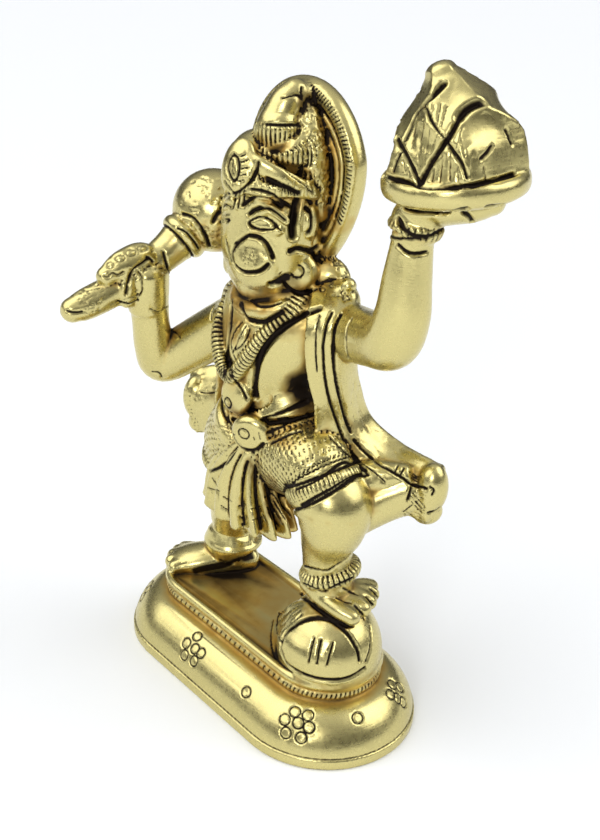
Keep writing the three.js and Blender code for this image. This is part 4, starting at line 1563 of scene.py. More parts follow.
@dataclass
class Crown(Group):
    """The tiered crown, the leaf boss on its front and the tall oval halo behind it."""

    half_width: float = 13.13
    half_height: float = 15.41
    beaded_side: float = 1.9
    hatching: tuple[int, Path] = (13, ((259, 175.5), (260.5, 180)))
    strokes: Strokes = (
        (0.3, 0.38, ((233, 154), (229, 160), (227.5, 168), (230, 176), (234, 181), (237.5, 175),
         (239, 166), (237, 158), (233, 154))),
        (0.14, 0.2, ((233, 160), (232, 167), (233, 174))),
        (0.18, 0.28, ((240, 156.5), (245, 154.5)), ((241, 162), (247, 160.5)), ((242, 168.5),
         (247.5, 168)), ((241, 175.5), (246, 174)), ((238, 181.5), (243, 180))),
        (0.32, 0.45, ((258, 162), (256.5, 171), (252, 180), (246, 187), (239, 192), (233, 194))),
        (0.48, 0.5, ((267, 179), (277, 183.5), (287, 187.5), (299, 193.5))),
        (0.16, 0.25, ((258, 151), (270, 158), (282, 166), (292, 176), (304, 185), (314, 194))),
        (0.16, 0.22, ((224, 180), (229, 187), (234, 193))),
        (0.3, 0.35, ((266, 124.5), (276, 125), (288, 125), (299, 125))),
        (0.25, 0.3, ((302, 96), (301, 91), (302, 87)), ((282, 98), (296, 95), (302, 99))),
    )
    tiers: Tube = field(init=False)
    mass: Tube = field(init=False)
    halo: Turned = field(init=False)

    def __post_init__(self) -> None:
        """Sets out the crown, the rough mass beside it and the halo."""
        self.tiers = Tube(
            (
                (-0.4, -2.4, 79, 7, 6.2), (-0.4, -2.4, 79.7, 8, 7.1), (-0.35, -2.4, 80.9, 8.1, 7.2),
                (-0.3, -2.4, 81.9, 7.5, 6.7), (0.5, -1.9, 82.7, 5.6, 5.2), (1.3, -1.3, 83.3, 4.1, 3.9),
                (1.4, -1.2, 83.8, 4.8, 4.5), (1.4, -1.2, 84.7, 4.9, 4.6), (1.3, -1.2, 85.5, 4.6, 4.4),
                (0.9, -1.7, 86.2, 3.5, 3.4), (0.6, -2.1, 86.8, 3.6, 3.5), (0.5, -2.2, 87.7, 3.75, 3.6),
                (0.5, -2.2, 88.6, 3.6, 3.5), (0.4, -2, 89.2, 3, 3), (0.8, -0.8, 91.6, 2.8, 2.8),
                (1.2, 0.6, 93.2, 2.3, 2.3),
            ),
            caps=(0.2, 0.8), around=96,
        )
        self.mass = Tube(
            (
                (5.2, 1.6, 76, 2.4, 2), (4.4, 1.2, 80.5, 3.5, 2.9), (3.5, 1, 85.5, 3.6, 3),
                (2.1, 1.4, 90, 2.7, 2.4), (1.2, 1.9, 92.6, 1.5, 1.3),
            ),
        )
        edge = 13.4
        self.halo = Turned(
            ((0, -2.4), (10.6, -2.2), (12.6, -1.6), (13.2, -0.9), (13.4, 0), (13.35, 0.8), (13, 1.5),
             (12.5, 1.9), (12, 1.95), (11.5, 1.9), (11.2, 1.5), (10.95, 1.15), (10.8, 1.15), (10.4, 1.6),
             (10, 1.65), (9.75, 1.25), (9.55, 1.25), (9.2, 1.55), (8.8, 1.6), (8.4, 1.3), (0, 1.3)),
            (0.2, 4, 79.8), (0, -1, 0),
            stretch=(self.half_width / edge, 1, self.half_height / edge), taper=0.22, around=200, steps=3,
        )

    def forms(self) -> list[Tube | Turned | Ball]:
        """Halo, tiers, the boss, the knob that joins cap and halo, and the ridge beside the brim.

        Returns:
            The forms, in the frame of the plinth's floor.
        """
        ridge = Tube(
            ((0.6, -8.3, 84.7, 1.1, 0.7), (3.4, -7.5, 83.5, 1.35, 0.75), (5.9, -5.4, 81.9, 1.45, 0.8),
             (7.2, -2.6, 80.4, 1.3, 0.8), (7.3, -0.4, 79.4, 1, 0.8)),
            side=(0, 0, 1), around=40,
        )
        return [
            self.halo, self.tiers, ridge,
            Ball((-0.2, -9, 82.8), (3.1, 1.4, 4.5), 0.2, -0.3),
            Ball((0.8, 2.2, 92.6), (2.8, 3.2, 2.4)),
            self.mass,
        ]

    def tarnish_and_shade(self) -> list[TarnishAndShade]:
        """The hollow field of the halo beside the crown, and the steps between the tiers.

        Returns:
            The places, in the frame of the plinth's floor.
        """
        return [
            TarnishAndShade((7.4, 3.4, 83), (3, 2.4, 9), 0.4),
            TarnishAndShade((9.2, 3.2, 75.6), (2.6, 3, 2.6), 0.5, 0.2),
            TarnishAndShade((-7, 3.4, 83), (3.4, 2.4, 9), 0.4),
            TarnishAndShade((1, -1.6, 86.2), (4.6, 4.6, 0.7), 0.5, 0.35),
            TarnishAndShade((1.2, -1.6, 82.8), (5.4, 5.4, 0.8), 0.5, 0.4),
            TarnishAndShade((0.5, -2, 89.1), (4, 4, 0.5), 0.45, 0.5),
            TarnishAndShade((3.6, 0.4, 92.6), (1.4, 2.4, 2.4), 0.4, 0.4),
        ]

    def cuts(self, rng: np.random.Generator) -> list[Cut | PhotoCut]:
        """Ribs of the two tiers, hatching of the brim, beads of the halo and the boss's almond.

        Args:
            rng: Where the random draws come from.

        Returns:
            The cuts, in the frame of the plinth's floor or in the picture.
        """
        tiers, halo, side = self.tiers, self.halo, self.beaded_side
        count, ends = self.hatching
        hatching = [
            PhotoCut(tuple((x + 3.1 * k, y + 1.45 * k) for x, y in ends), 0.16, 0.25) for k in range(count)
        ]
        around = np.linspace(-side, side, 200)
        return [
            *self.drawn(), *hatching,
            *ribs(tiers, 36, tiers.knot(6), tiers.knot(8), 0.19, 0.32),
            *ribs(tiers, 30, tiers.knot(10), tiers.knot(12), 0.19, 0.32),
            *ribs(tiers, 46, tiers.knot(1.2), tiers.knot(2.8), 0.16, 0.2, mark=Mark.SCRATCH),
            *ribs(halo, 84, halo.knot(6.6), halo.knot(8.7), 0.2, 0.26, start=-side, end=side, lean=0.03),
            Cut(halo.at(around, halo.knot(12)), 0.26, 0.4),
            Cut(halo.at(around, halo.knot(15.6)), 0.22, 0.25, Mark.SCRATCH),
            *pits(halo, 420, (-side, side), (0.955, 0.985), 0.24, 0.16, rng),
            *pits(self.mass, 420, (-1.8, 1.6), (0.05, 0.95), 0.26, 0.24, rng, Mark.SHALLOW),
        ]


@dataclass
class Scarf(Group):
    """A scarf end that hangs from a shoulder and blows out to the side, with rolled lips at its tip."""

    sections: Path = ()
    folds: int = 4
    tube: Tube = field(init=False)

    def __post_init__(self) -> None:
        """Sets out the folded band."""
        self.tube = Tube(self.sections, caps=(0.6, 0.5), relief=self._folded, around=96, steps=10)

    def _folded(self, angle: Array, share: Array) -> Array:
        """Soft folds round the band: a cosine of the angle times their number."""
        return 1 + 0.1 * np.cos(self.folds * angle) + 0 * share

    def forms(self) -> list[Tube | Ball]:
        """The band and two lips.

        Returns:
            The forms, in the frame of the plinth's floor.
        """
        x, y, z = self.sections[-1][:3]
        lips = [
            Ball((x - back * math.copysign(1, x), y - 0.1 * rise, z + rise), (2.5, 2.6, high))
            for back, rise, high in ((1.5, -3.8, 2.3), (0.4, 0.9, 4.4))
        ]
        return [self.tube, *lips]

    def tarnish_and_shade(self) -> list[TarnishAndShade]:
        """The folds low on the band."""
        x, y, z = self.sections[5][:3]
        return [TarnishAndShade((x, y - 1.6, z + 2), (3.4, 2, 5), 0.35, 0.25)]

    def cuts(self, rng: np.random.Generator) -> list[Cut | PhotoCut]:
        """Long lines along both faces of the band, fine hatching across them, and stripes at the tip.

        Args:
            rng: Where the random draws come from.

        Returns:
            The cuts, in the frame of the plinth's floor or in the picture.
        """
        share = np.linspace(0.06, 0.93, 90)
        lengthwise = [
            Cut(self.tube.at(angle + 0.12 * np.sin(9 * share), share), 0.27, 0.38, hidden_only=True)
            for angle in np.pi * np.array([0.3, 0.5, 0.7, 1.3, 1.5, 1.7])
        ]
        hatch = pits(self.tube, 300, (0, 2 * np.pi), (0.35, 0.95), 0.15, 0.1, rng, Mark.SHALLOW)
        tip = ribs(self.tube, 40, 0.93, 0.995, 0.14, 0.16, mark=Mark.SCRATCH)
        return [*lengthwise, *hatch, *tip, *self.drawn()]


@dataclass
class LeftScarf(Scarf):
    """The scarf end on the figure's left, with the lines that are seen on it."""

    sections: Path = (
        (10.6, 1.8, 65, 3.2, 1, 0.8, 0.6, 0), (14.8, -2.6, 61.8, 3.4, 1.2, 0.8, 0.6, 0),
        (15, -2.4, 56.4, 3.6, 1.3, 0.5, 0.85, 0), (14.2, 0, 50, 4.2, 1.4, 0, 1, 0),
        (13.4, 2.2, 44.3, 4.8, 1.5, 0, 1, 0.1), (15.3, 4.4, 39.4, 4.9, 1.6, -0.2, 0.8, 0.5),
        (20, 7, 35.6, 4.8, 1.9, -0.3, 0.5, 0.8), (26, 9, 34.5, 4.6, 2.2, -0.1, 0.3, 0.95),
        (28.3, 9.5, 34.4, 4.5, 2.3, -0.1, 0.3, 0.95),
    )
    strokes: Strokes = (
        (0.3, 0.45, ((332, 312), (326, 326), (323, 345), (323.5, 365), (326, 385), (331, 405),
         (338, 425), (346, 444), (356, 460), (368, 475))),
        (0.36, 0.5, ((341, 315), (335, 328), (333, 346), (334, 365), (337, 385), (341, 402), (346, 420),
         (351, 432))),
        (0.26, 0.35, ((352, 318), (347, 328), (346, 345), (348, 358))),
        (0.34, 0.45, ((354, 440), (365, 452), (378, 463), (390, 470), (402, 478), (414, 485),
         (426, 489))),
        (0.2, 0.28, ((350, 450), (361, 462), (373, 471), (385, 482))),
        (0.16, 0.22, ((358, 446), (370, 458), (383, 467), (396, 476))),
        (0.2, 0.25, ((319, 315), (316, 330), (315.5, 350), (317, 372))),
        (0.3, 0.35, ((330, 436), (340, 447), (353, 459), (366, 470))),
        (0.22, 0.3, ((398, 465), (395, 472))),
        (0.24, 0.3, ((404, 468), (400, 476)), ((430, 487), (434, 490), (432, 495))),
        (0.4, 0.4, ((412, 488), (408, 500))),
        (0.26, 0.3, ((412, 506), (404, 512))),
        (0.13, 0.2, ((410, 472), (420, 478)), ((411, 475), (420, 480.5)), ((411, 478), (419, 483)),
         ((413, 493), (425, 508)), ((412, 497), (423, 511)), ((411, 501), (421, 513)), ((407, 512),
         (416, 519)), ((404, 514), (413, 521))),
        (0.3, 0.3, ((428, 513), (435, 511), (439, 508))),
    )


@dataclass
class RightScarf(Scarf):
    """The scarf end on the figure's right, which is seen past the arm and the hip."""

    sections: Path = (
        (-8.6, 2.6, 60.6, 3, 1, -0.8, 0.6, 0), (-12, 1, 57, 3.6, 1.2, -0.3, 1, 0),
        (-13, 1, 50.4, 4, 1.3, 0, 1, 0), (-13.4, 2.2, 44.6, 4.6, 1.5, 0, 1, 0.1),
        (-15.4, 4.4, 39, 5, 1.6, 0.3, 0.8, 0.4), (-20.4, 5, 34.8, 5.6, 1.9, 0.3, 0.5, 0.8),
        (-25.6, 4.2, 31.8, 5.7, 2.2, 0.1, 0.3, 0.95), (-28.4, 3.6, 30.6, 5.7, 2.2, 0.1, 0.3, 0.95),
    )
    scratches: Strokes = (
        (0.25, 0.3, ((200, 392), (208, 393), (216, 392))),
    )


class Nodes:
    """Adds nodes to a material's or a surround's tree and joins them up.

    COLOURS and NUMBERS are a Mix node's two kinds, each with the places of its two values among
    the inputs and of its result among the outputs.
    """

    COLOURS = ("RGBA", 6, 7, 2)
    NUMBERS = ("FLOAT", 2, 3, 0)

    def __init__(self, tree: bpy.types.NodeTree) -> None:
        """Keeps the tree that the nodes go into."""
        self.tree = tree

    def put(self, socket: bpy.types.NodeSocket, value: object) -> None:
        """Feeds a socket from another node's output, or sets its own value.

        Args:
            socket: The input.
            value: An output, or a value of the input's own kind.
        """
        if isinstance(value, bpy.types.NodeSocket):
            self.tree.links.new(value, socket)
        else:
            socket.default_value = value

    def add(self, kind: str, **inputs: object) -> bpy.types.Node:
        """A new node.

        Args:
            kind: The type's name without ShaderNode.
            inputs: Values or outputs for its inputs, by their names with _ for each space.

        Returns:
            The node.
        """
        made = self.tree.nodes.new("ShaderNode" + kind)
        for name, value in inputs.items():
            self.put(made.inputs[name.replace("_", " ")], value)
        return made

    def value(self, attribute: str) -> bpy.types.NodeSocket:
        """The skin's own value of a name.

        Args:
            attribute: The name of the value.

        Returns:
            The output that gives it.
        """
        made = self.add("Attribute")
        made.attribute_name = attribute
        return made.outputs["Fac"]

    def noise(self, place: bpy.types.NodeSocket, scale: float, detail: float) -> bpy.types.NodeSocket:
        """Cloudy noise at places, so many to the metre."""
        return self.add("TexNoise", Vector=place, Scale=scale, Detail=detail).outputs["Fac"]

    def scaled(self, value: bpy.types.NodeSocket, low: float, high: float) -> bpy.types.NodeSocket:
        """A value stretched so that low gives 0 and high gives 1, and held there."""
        return self.add("MapRange", Value=value, From_Min=low, From_Max=high).outputs["Result"]

    def worked(self, operation: str, first: bpy.types.NodeSocket, second: object) -> bpy.types.NodeSocket:
        """A Math node's output.

        Args:
            operation: What it does, such as ADD.
            first: Its first value.
            second: Its second value, an output or a number.

        Returns:
            The output.
        """
        made = self.add("Math")
        made.operation = operation
        self.put(made.inputs[0], first)
        self.put(made.inputs[1], second)
        return made.outputs[0]

    def mixed(self, factor: bpy.types.NodeSocket, first: object, second: object,
              colours: bool = False) -> bpy.types.NodeSocket:
        """A Mix node's output.

        Args:
            factor: 0 gives the first and 1 the second.
            first: An output, a number or a colour.
            second: The same kind as the first.
            colours: Whether they are colours.

        Returns:
            The output.
        """
        made = self.add("Mix")
        made.data_type, a, b, out = self.COLOURS if colours else self.NUMBERS
        self.put(made.inputs[0], factor)
        self.put(made.inputs[a], first)
        self.put(made.inputs[b], second)
        return made.outputs[out]


@dataclass(frozen=True)
class Brass:
    """Polished yellow brass, brown where the polish doesn't reach and near black in the cuts; the same
    brown and black are also laid as painted shade in crowded corners and under parts.
    """

    bright: tuple[float, ...] = (0.63, 0.55, 0.232, 1)
    warm: tuple[float, ...] = (0.54, 0.34, 0.08, 1)
    dark: tuple[float, ...] = (0.013, 0.007, 0.003, 1)
    polished: tuple[float, float] = (0.25, 0.32)
    brown_roughness: float = 0.48
    black_roughness: float = 0.6
    black_metallic: float = 0.75
    cloud_scale: float = 260
    grain_scale: float = 1400
    file_scale: float = 420
    file_turn: Point = (0.5, 0.35, 0)
    file_stretch: Point = (1, 1, 8)
    bump_strength: float = 0.08
    bump_height: float = 0.0002

    def build(self) -> bpy.types.Material:
        """Three colours mixed by the skin's stain and patina values, which also hold painted shade, with a
        filed and cast grain.

        Returns:
            The material.
        """
        made = bpy.data.materials.new("polished_brass")
        made.use_nodes = True
        nodes = Nodes(made.node_tree)
        place = nodes.add("TexCoord").outputs["Object"]
        cloud = nodes.noise(place, self.cloud_scale, 5)
        grain = nodes.noise(place, self.grain_scale, 3)
        strokes = nodes.add("Mapping", Vector=place, Rotation=self.file_turn, Scale=self.file_stretch)
        filed = nodes.noise(strokes.outputs["Vector"], self.file_scale, 4)

        uneven = nodes.scaled(cloud, 0.3, 0.7)
        # The stain and patina values also carry painted shade from crowded corners and downward faces.
        stain_and_shade = nodes.worked("ADD", nodes.value("stain_and_shade"), nodes.worked("MULTIPLY", uneven, 0.36))
        patina_and_shade = nodes.worked("ADD", nodes.value("patina_and_shade"), nodes.worked("MULTIPLY", uneven, 0.2))
        brown, black = nodes.scaled(stain_and_shade, 0.36, 1.1), nodes.scaled(patina_and_shade, 0.3, 0.85)
        metal = nodes.mixed(brown, self.bright, self.warm, colours=True)
        polish = nodes.mixed(nodes.scaled(grain, 0.3, 0.75), *self.polished)
        dull = nodes.mixed(brown, polish, self.brown_roughness)
        relief = nodes.worked("ADD", nodes.worked("ADD", grain, cloud), filed)
        bump = nodes.add("Bump", Strength=self.bump_strength, Distance=self.bump_height, Height=relief)
        shader = made.node_tree.nodes["Principled BSDF"].inputs
        nodes.put(shader["Base Color"], nodes.mixed(black, metal, self.dark, colours=True))
        nodes.put(shader["Metallic"], nodes.mixed(black, 1.0, self.black_metallic))
        nodes.put(shader["Roughness"], nodes.mixed(black, dull, self.black_roughness))
        nodes.put(shader["Normal"], bump.outputs["Normal"])
        return made


def linked(name: str, data: bpy.types.ID | None) -> bpy.types.Object:
    """A new object in the scene.

    Args:
        name: Its name.
        data: What it shows.

    Returns:
        The object.
    """
    made = bpy.data.objects.new(name, data)
    bpy.context.scene.collection.objects.link(made)
    return made


class Casting:
    """The whole work as one skin: forms fused, lines cut, and the colour of its recesses worked out.

    A hollow starts to darken at the first of HOLLOW, in millimetres, and is full a second of them
    deeper. CROWD is the same for crowding, whose darkening is painted shade. The passes are how
    often values are averaged.
    """

    HOLLOW = (0.05, 0.22)
    CROWD = (1.35, 1.3)
    HOLLOW_PASSES = 24
    CROWD_PASSES = 6
    NOISE_PASSES = 14

    def __init__(self, surfaces: Iterable[Surface]) -> None:
        """Fuses closed surfaces into one skin of small even faces.

        Args:
            surfaces: The forms, in millimetres.
        """
        parts = list(surfaces)
        counts = np.cumsum([0] + [len(p.points) for p in parts[:-1]])
        points = np.vstack([p.points for p in parts])
        faces = np.vstack([p.faces + start for p, start in zip(parts, counts)])
        loose = linked("loose_forms", mesh_of("loose_forms", points * MM, faces))
        fuse = loose.modifiers.new("fuse", "REMESH")
        fuse.mode = "VOXEL"
        fuse.voxel_size = SKIN_STEP * MM
        self.mesh = baked(loose, "hanuman_figure")
        bpy.data.objects.remove(loose)
        self._read()
        log.info("fused skin: %d points", len(self.points))

    def _read(self) -> None:
        """Takes the mesh's points and edges into arrays, in millimetres."""
        count = len(self.mesh.vertices)
        self.points = np.empty(count * 3, np.float32)
        self.mesh.vertices.foreach_get("co", self.points)
        self.points = self.points.reshape(-1, 3).astype(float) / MM
        edges = np.empty(len(self.mesh.edges) * 2, np.int32)
        self.mesh.edges.foreach_get("vertices", edges)
        self.edges = edges.reshape(-1, 2)
        self.degree = np.maximum(np.bincount(self.edges.ravel(), minlength=count), 1)
        self.groove = np.zeros(count)

    def average(self, values: Array, times: int = 1) -> Array:
        """The mean of each point's neighbours.

        Args:
            values: One or more columns of values, a row for each point.
            times: How often the mean is taken.

        Returns:
            Values of the same shape.
        """
        a, b = self.edges.T
        count = len(self.degree)
        columns = values.reshape(count, -1)
        for _ in range(times):
            columns = np.stack([
                (np.bincount(a, column[b], count) + np.bincount(b, column[a], count)) / self.degree
                for column in columns.T
            ], 1)
        return columns.reshape(values.shape)

    def normals(self) -> Array:
        """Outward directions of the points as they are now.

        Returns:
            A unit vector for each point.
        """
        self._write_points()
        out = np.empty(len(self.mesh.vertices) * 3, np.float32)
        self.mesh.vertices.foreach_get("normal", out)
        return out.reshape(-1, 3).astype(float)

    def _write_points(self) -> None:
        """Puts the points back into the mesh."""
        self.mesh.vertices.foreach_set("co", (self.points * MM).astype(np.float32).ravel())
        self.mesh.update()

    def smooth(self, times: int) -> None:
        """Evens the skin: moves each point towards its neighbours and part of the way back.

        Args:
            times: How often it is done.
        """
        for _ in range(times):
            self.points += 0.5 * (self.average(self.points) - self.points)
            self.points -= 0.45 * (self.average(self.points) - self.points)

    def tree(self) -> BVHTree:
        """A search tree of the skin, in millimetres.

        Returns:
            The tree.
        """
        polygons = np.empty(len(self.mesh.loops), np.int32)
        self.mesh.loops.foreach_get("vertex_index", polygons)
        starts = np.empty(len(self.mesh.polygons), np.int32)
        self.mesh.polygons.foreach_get("loop_start", starts)
        corners = np.split(polygons, starts[1:])
        return BVHTree.FromPolygons(self.points.tolist(), [c.tolist() for c in corners])

    def laid(self, cuts: Iterable[Cut | PhotoCut], view: StudioView, tree: BVHTree) -> list[Cut]:
        """Lays every cut on the skin.

        A cut in space moves to the nearest points of the skin. A cut in the picture is drawn as a
        smooth curve and sent out from the camera to where each of its rays meets the skin.

        Args:
            cuts: Cuts in space and in the picture.
            view: The studio camera.
            tree: The skin's search tree.

        Returns:
            Cuts whose points lie on the skin.
        """
        eye = view.axes()[0]
        made = []
        for cut in cuts:
            if isinstance(cut, PhotoCut):
                corners = np.asarray(cut.corners, float)
                length = np.linalg.norm(np.diff(corners, axis=0), axis=1).sum()
                position, rays = view.rays(spline(corners, np.linspace(0, 1, max(3, int(length * 1.2)))))
                found = [tree.ray_cast(Vector(position), Vector(ray))[0] for ray in rays]
                points = np.array([tuple(p) for p in found if p is not None])
            else:
                steps = max(2, int(np.linalg.norm(np.diff(cut.points, axis=0), axis=1).sum() / 0.2))
                line = spline(cut.points, np.linspace(0, 1, steps))
                found = [tree.find_nearest(Vector(p), 1.2) for p in line]
                points = np.array([
                    tuple(p) for p, normal, _, _ in found
                    if p is not None and not (cut.hidden_only and normal.dot(Vector(eye) - p) > 0)
                ])
            if len(points):
                made.append(Cut(points, cut.half_width, cut.depth, cut.mark))
        return made

    def engrave(self, cuts: Iterable[Cut]) -> None:
        """Cuts lines into the skin.

        Every point within a cut's half width sinks along its normal by the depth times the square of
        one minus the squared share of that half width, and a thin burr rises beside the cut.

        Args:
            cuts: Cuts whose points lie on the skin.
        """
        normals = self.normals()
        order = np.argsort(self.points[:, 0])
        sorted_x = self.points[order, 0]
        sink = np.zeros(len(self.points))
        for cut in cuts:
            reach = 1.7 * CHISEL_SPREAD * cut.half_width
            low, high = cut.points.min(0) - reach, cut.points.max(0) + reach
            near = order[np.searchsorted(sorted_x, low[0]):np.searchsorted(sorted_x, high[0])]
            block = self.points[near]
            near = near[((block[:, 1:] > low[1:]) & (block[:, 1:] < high[1:])).all(1)]
            if not len(near):
                continue
            gap = np.full(len(near), np.inf)
            for start in range(0, len(cut.points), 64):
                some = cut.points[start:start + 64]
                apart = np.linalg.norm(self.points[near][:, None] - some[None], axis=2)
                gap = np.minimum(gap, apart.min(1))
            share = gap / (CHISEL_SPREAD * cut.half_width)
            bowl = np.where(share < 1, (1 - np.minimum(share, 1) ** 2) ** 2, 0)
            burr = np.where((share > 0.9) & (share < 1.7), 0.1 * np.sin((share - 0.9) / 0.8 * np.pi), 0)
            deeper = CHISEL_BITE * cut.depth * (bowl - burr)
            sink[near] = np.where(np.abs(deeper) > np.abs(sink[near]), deeper, sink[near])
            dark = cut.mark.value * np.clip(1.5 * (1 - share), 0, 1)
            self.groove[near] = np.maximum(self.groove[near], dark)
        self.points -= normals * sink[:, None]

    def crowding(self, reach: float, cell: float = 1.0) -> Array:
        """How much skin stands in front of each point.

        The skin's points are counted in cells, the counts are spread by a bell curve through their
        transform, and read at a step along each point's normal.

        Args:
            reach: Step along the normal, and the bell curve's width.
            cell: Side of a cell.

        Returns:
            One value for each point, near 1 on an open flat face.
        """
        pad = 3 * reach
        low = self.points.min(0) - pad
        size = np.ceil((self.points.max(0) + pad - low) / cell).astype(int)
        index = ((self.points - low) / cell).astype(int)
        counts = np.bincount(np.ravel_multi_index(index.T, size), minlength=size.prod())
        counts = counts.reshape(size).astype(float)
        waves = [np.fft.fftfreq(n, cell) for n in size[:2]] + [np.fft.rfftfreq(size[2], cell)]
        squared = waves[0][:, None, None] ** 2 + waves[1][None, :, None] ** 2 + waves[2][None, None, :] ** 2
        spread = np.fft.irfftn(np.fft.rfftn(counts) * np.exp(-2 * (np.pi * reach) ** 2 * squared), s=size)
        ahead = np.clip(((self.points + reach * self.normals() - low) / cell).astype(int), 0, size - 1)
        value = spread[tuple(ahead.T)]
        return value / np.median(value)

    def colour(self, rng: np.random.Generator, places: Iterable[TarnishAndShade], streaks: Array) -> None:
        """Works out how brown and how black each point is, from cuts, hollows, crowded places and stated
        ones; crowded places and downward faces add painted shade.

        Args:
            rng: The seeded source of unevenness.
            places: Where the polish never reached, and where shade is painted.
            streaks: How brown each point is besides.
        """
        normals = self.normals()
        near = self.average(self.points, self.HOLLOW_PASSES)
        hollow = ((near - self.points) * normals).sum(1)
        # crowd measures how much skin stands in front of each point; closed, below and corner use it to
        # paint shade into corners, between parts and under them.
        crowd = self.average(self.crowding(2.2), self.CROWD_PASSES)
        deep = np.clip((hollow - self.HOLLOW[0]) / self.HOLLOW[1], 0, 1)
        closed = np.clip((crowd - self.CROWD[0]) / self.CROWD[1], 0, 1)
        below = np.clip(-normals[:, 2], 0, 1) * 0.25
        noise = self.average(rng.normal(0, 1, len(self.points)), self.NOISE_PASSES)
        noise /= noise.std()
        brown, black = streaks.copy(), np.zeros(len(self.points))
        uneven = np.clip(1 + 0.3 * noise, 0.3, 1.6)
        for place in places:
            share = place.share(self.points) * uneven
            brown += place.brown * share
            black += place.black * share
        # Real brown stain and dark patina in hollows and cuts, plus painted shade from closed, below and
        # corner.
        stain_and_shade = np.clip(0.75 * deep + 0.7 * closed + 0.08 * noise + below * closed + brown, 0, 1)
        corner = 0.45 * np.clip(closed - 0.6, 0, 1)
        patina_and_shade = np.clip(self.groove + 0.75 * deep * (0.4 + closed) + corner + black, 0, 1)
        for name, values in (("stain_and_shade", stain_and_shade), ("patina_and_shade", patina_and_shade)):
            made = self.mesh.attributes.new(name, "FLOAT", "POINT")
            made.data.foreach_set("value", values.astype(np.float32))
        log.info("colour: mean stain %.3f, mean patina %.3f", stain_and_shade.mean(), patina_and_shade.mean())

    def finish(self, brass: bpy.types.Material) -> bpy.types.Object:
        """Thins the skin where it is smooth, and makes the piece.

        Args:
            brass: The finish.

        Returns:
            The finished object, at the origin.
        """
        low, high = (np.array(corner, float) / MM for corner in cad_box)
        self.points = np.clip(self.points, low, high)
        self._write_points()
        thick = linked("thick_skin", self.mesh)
        skirt = self.points[:, 2] < 0.7 * FLOOR_HEIGHT
        clean = ~skirt | (self.average((self.groove > 0).astype(float)) == 0)
        thinned = thick.vertex_groups.new(name="clean")
        thinned.add(np.flatnonzero(clean).tolist(), 1.0, "REPLACE")
        log.info("kept as they are: %d of %d points", np.sum(~clean), len(clean))
        thin = thick.modifiers.new("thin", "DECIMATE")
        thin.vertex_group = thinned.name
        thin.ratio = min(1.0, MOST_TRIANGLES / sum(len(p.vertices) - 2 for p in self.mesh.polygons))
        done = baked(thick, "hanuman_figure")
        bpy.data.objects.remove(thick)
        done.shade_smooth()
        done.materials.clear()
        done.materials.append(brass)
        piece = linked("hanuman_casting", done)
        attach(piece, "root")
        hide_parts("hanuman_figure")
        log.info("casting: %d faces", len(done.polygons))
        return piece


def mesh_of(name: str, points: Array, faces: Array) -> bpy.types.Mesh:
    """A mesh from arrays of points in metres and triangles.

    Args:
        name: Its name.
        points: A row for each point.
        faces: Three point numbers for each triangle.

    Returns:
        The mesh.
    """
    mesh = bpy.data.meshes.new(name)
    mesh.vertices.add(len(points))
    mesh.vertices.foreach_set("co", points.astype(np.float32).ravel())
    mesh.loops.add(faces.size)
    mesh.loops.foreach_set("vertex_index", faces.astype(np.int32).ravel())
    mesh.polygons.add(len(faces))
    mesh.polygons.foreach_set("loop_start", np.arange(0, faces.size, 3, dtype=np.int32))
    mesh.update(calc_edges=True)
    return mesh


def baked(thing: bpy.types.Object, name: str) -> bpy.types.Mesh:
    """The mesh that an object's modifiers make, as a mesh of its own.

    Args:
        thing: The object.
        name: The new mesh's name.

    Returns:
        The mesh.
    """
    graph = bpy.context.evaluated_depsgraph_get()
    mesh = bpy.data.meshes.new_from_object(thing.evaluated_get(graph))
    mesh.name = name
    return mesh


def punched(point: Vector, normal: Vector, radius: float) -> Cut:
    """A ring punch: a circle of a radius round a point, square to a normal.

    Args:
        point: Its middle.
        normal: The way it faces.
        radius: Its radius.

    Returns:
        The cut.
    """
    across = unit(np.cross(normal, [0.3, 0.2, 0.9]))
    up = np.cross(normal, across)
    a = np.linspace(0, 2 * np.pi, 40)[:, None]
    return Cut(np.array(point) + radius * (np.cos(a) * across + np.sin(a) * up), 0.2, 0.24)


def ring_cuts(tree: BVHTree, view: StudioView, rings: Iterable[Point], middles: Iterable[Array],
              radius: float) -> list[Cut]:
    """Punched rings, each in the skin's own plane.

    Args:
        tree: The skin's search tree.
        view: The studio camera.
        rings: Picture coordinates and radius of those that the picture shows.
        middles: Places in space of the others.
        radius: Radius of the others.

    Returns:
        One cut for each ring.
    """
    made = []
    for x, y, size in rings:
        eye, ray = view.rays(np.array([[x, y]], float))
        made.append((tree.ray_cast(Vector(eye), Vector(ray[0])), size))
    made += [(tree.find_nearest(Vector(middle)), radius) for middle in middles]
    return [punched(point, normal, size) for (point, normal, _, _), size in made if point is not None]


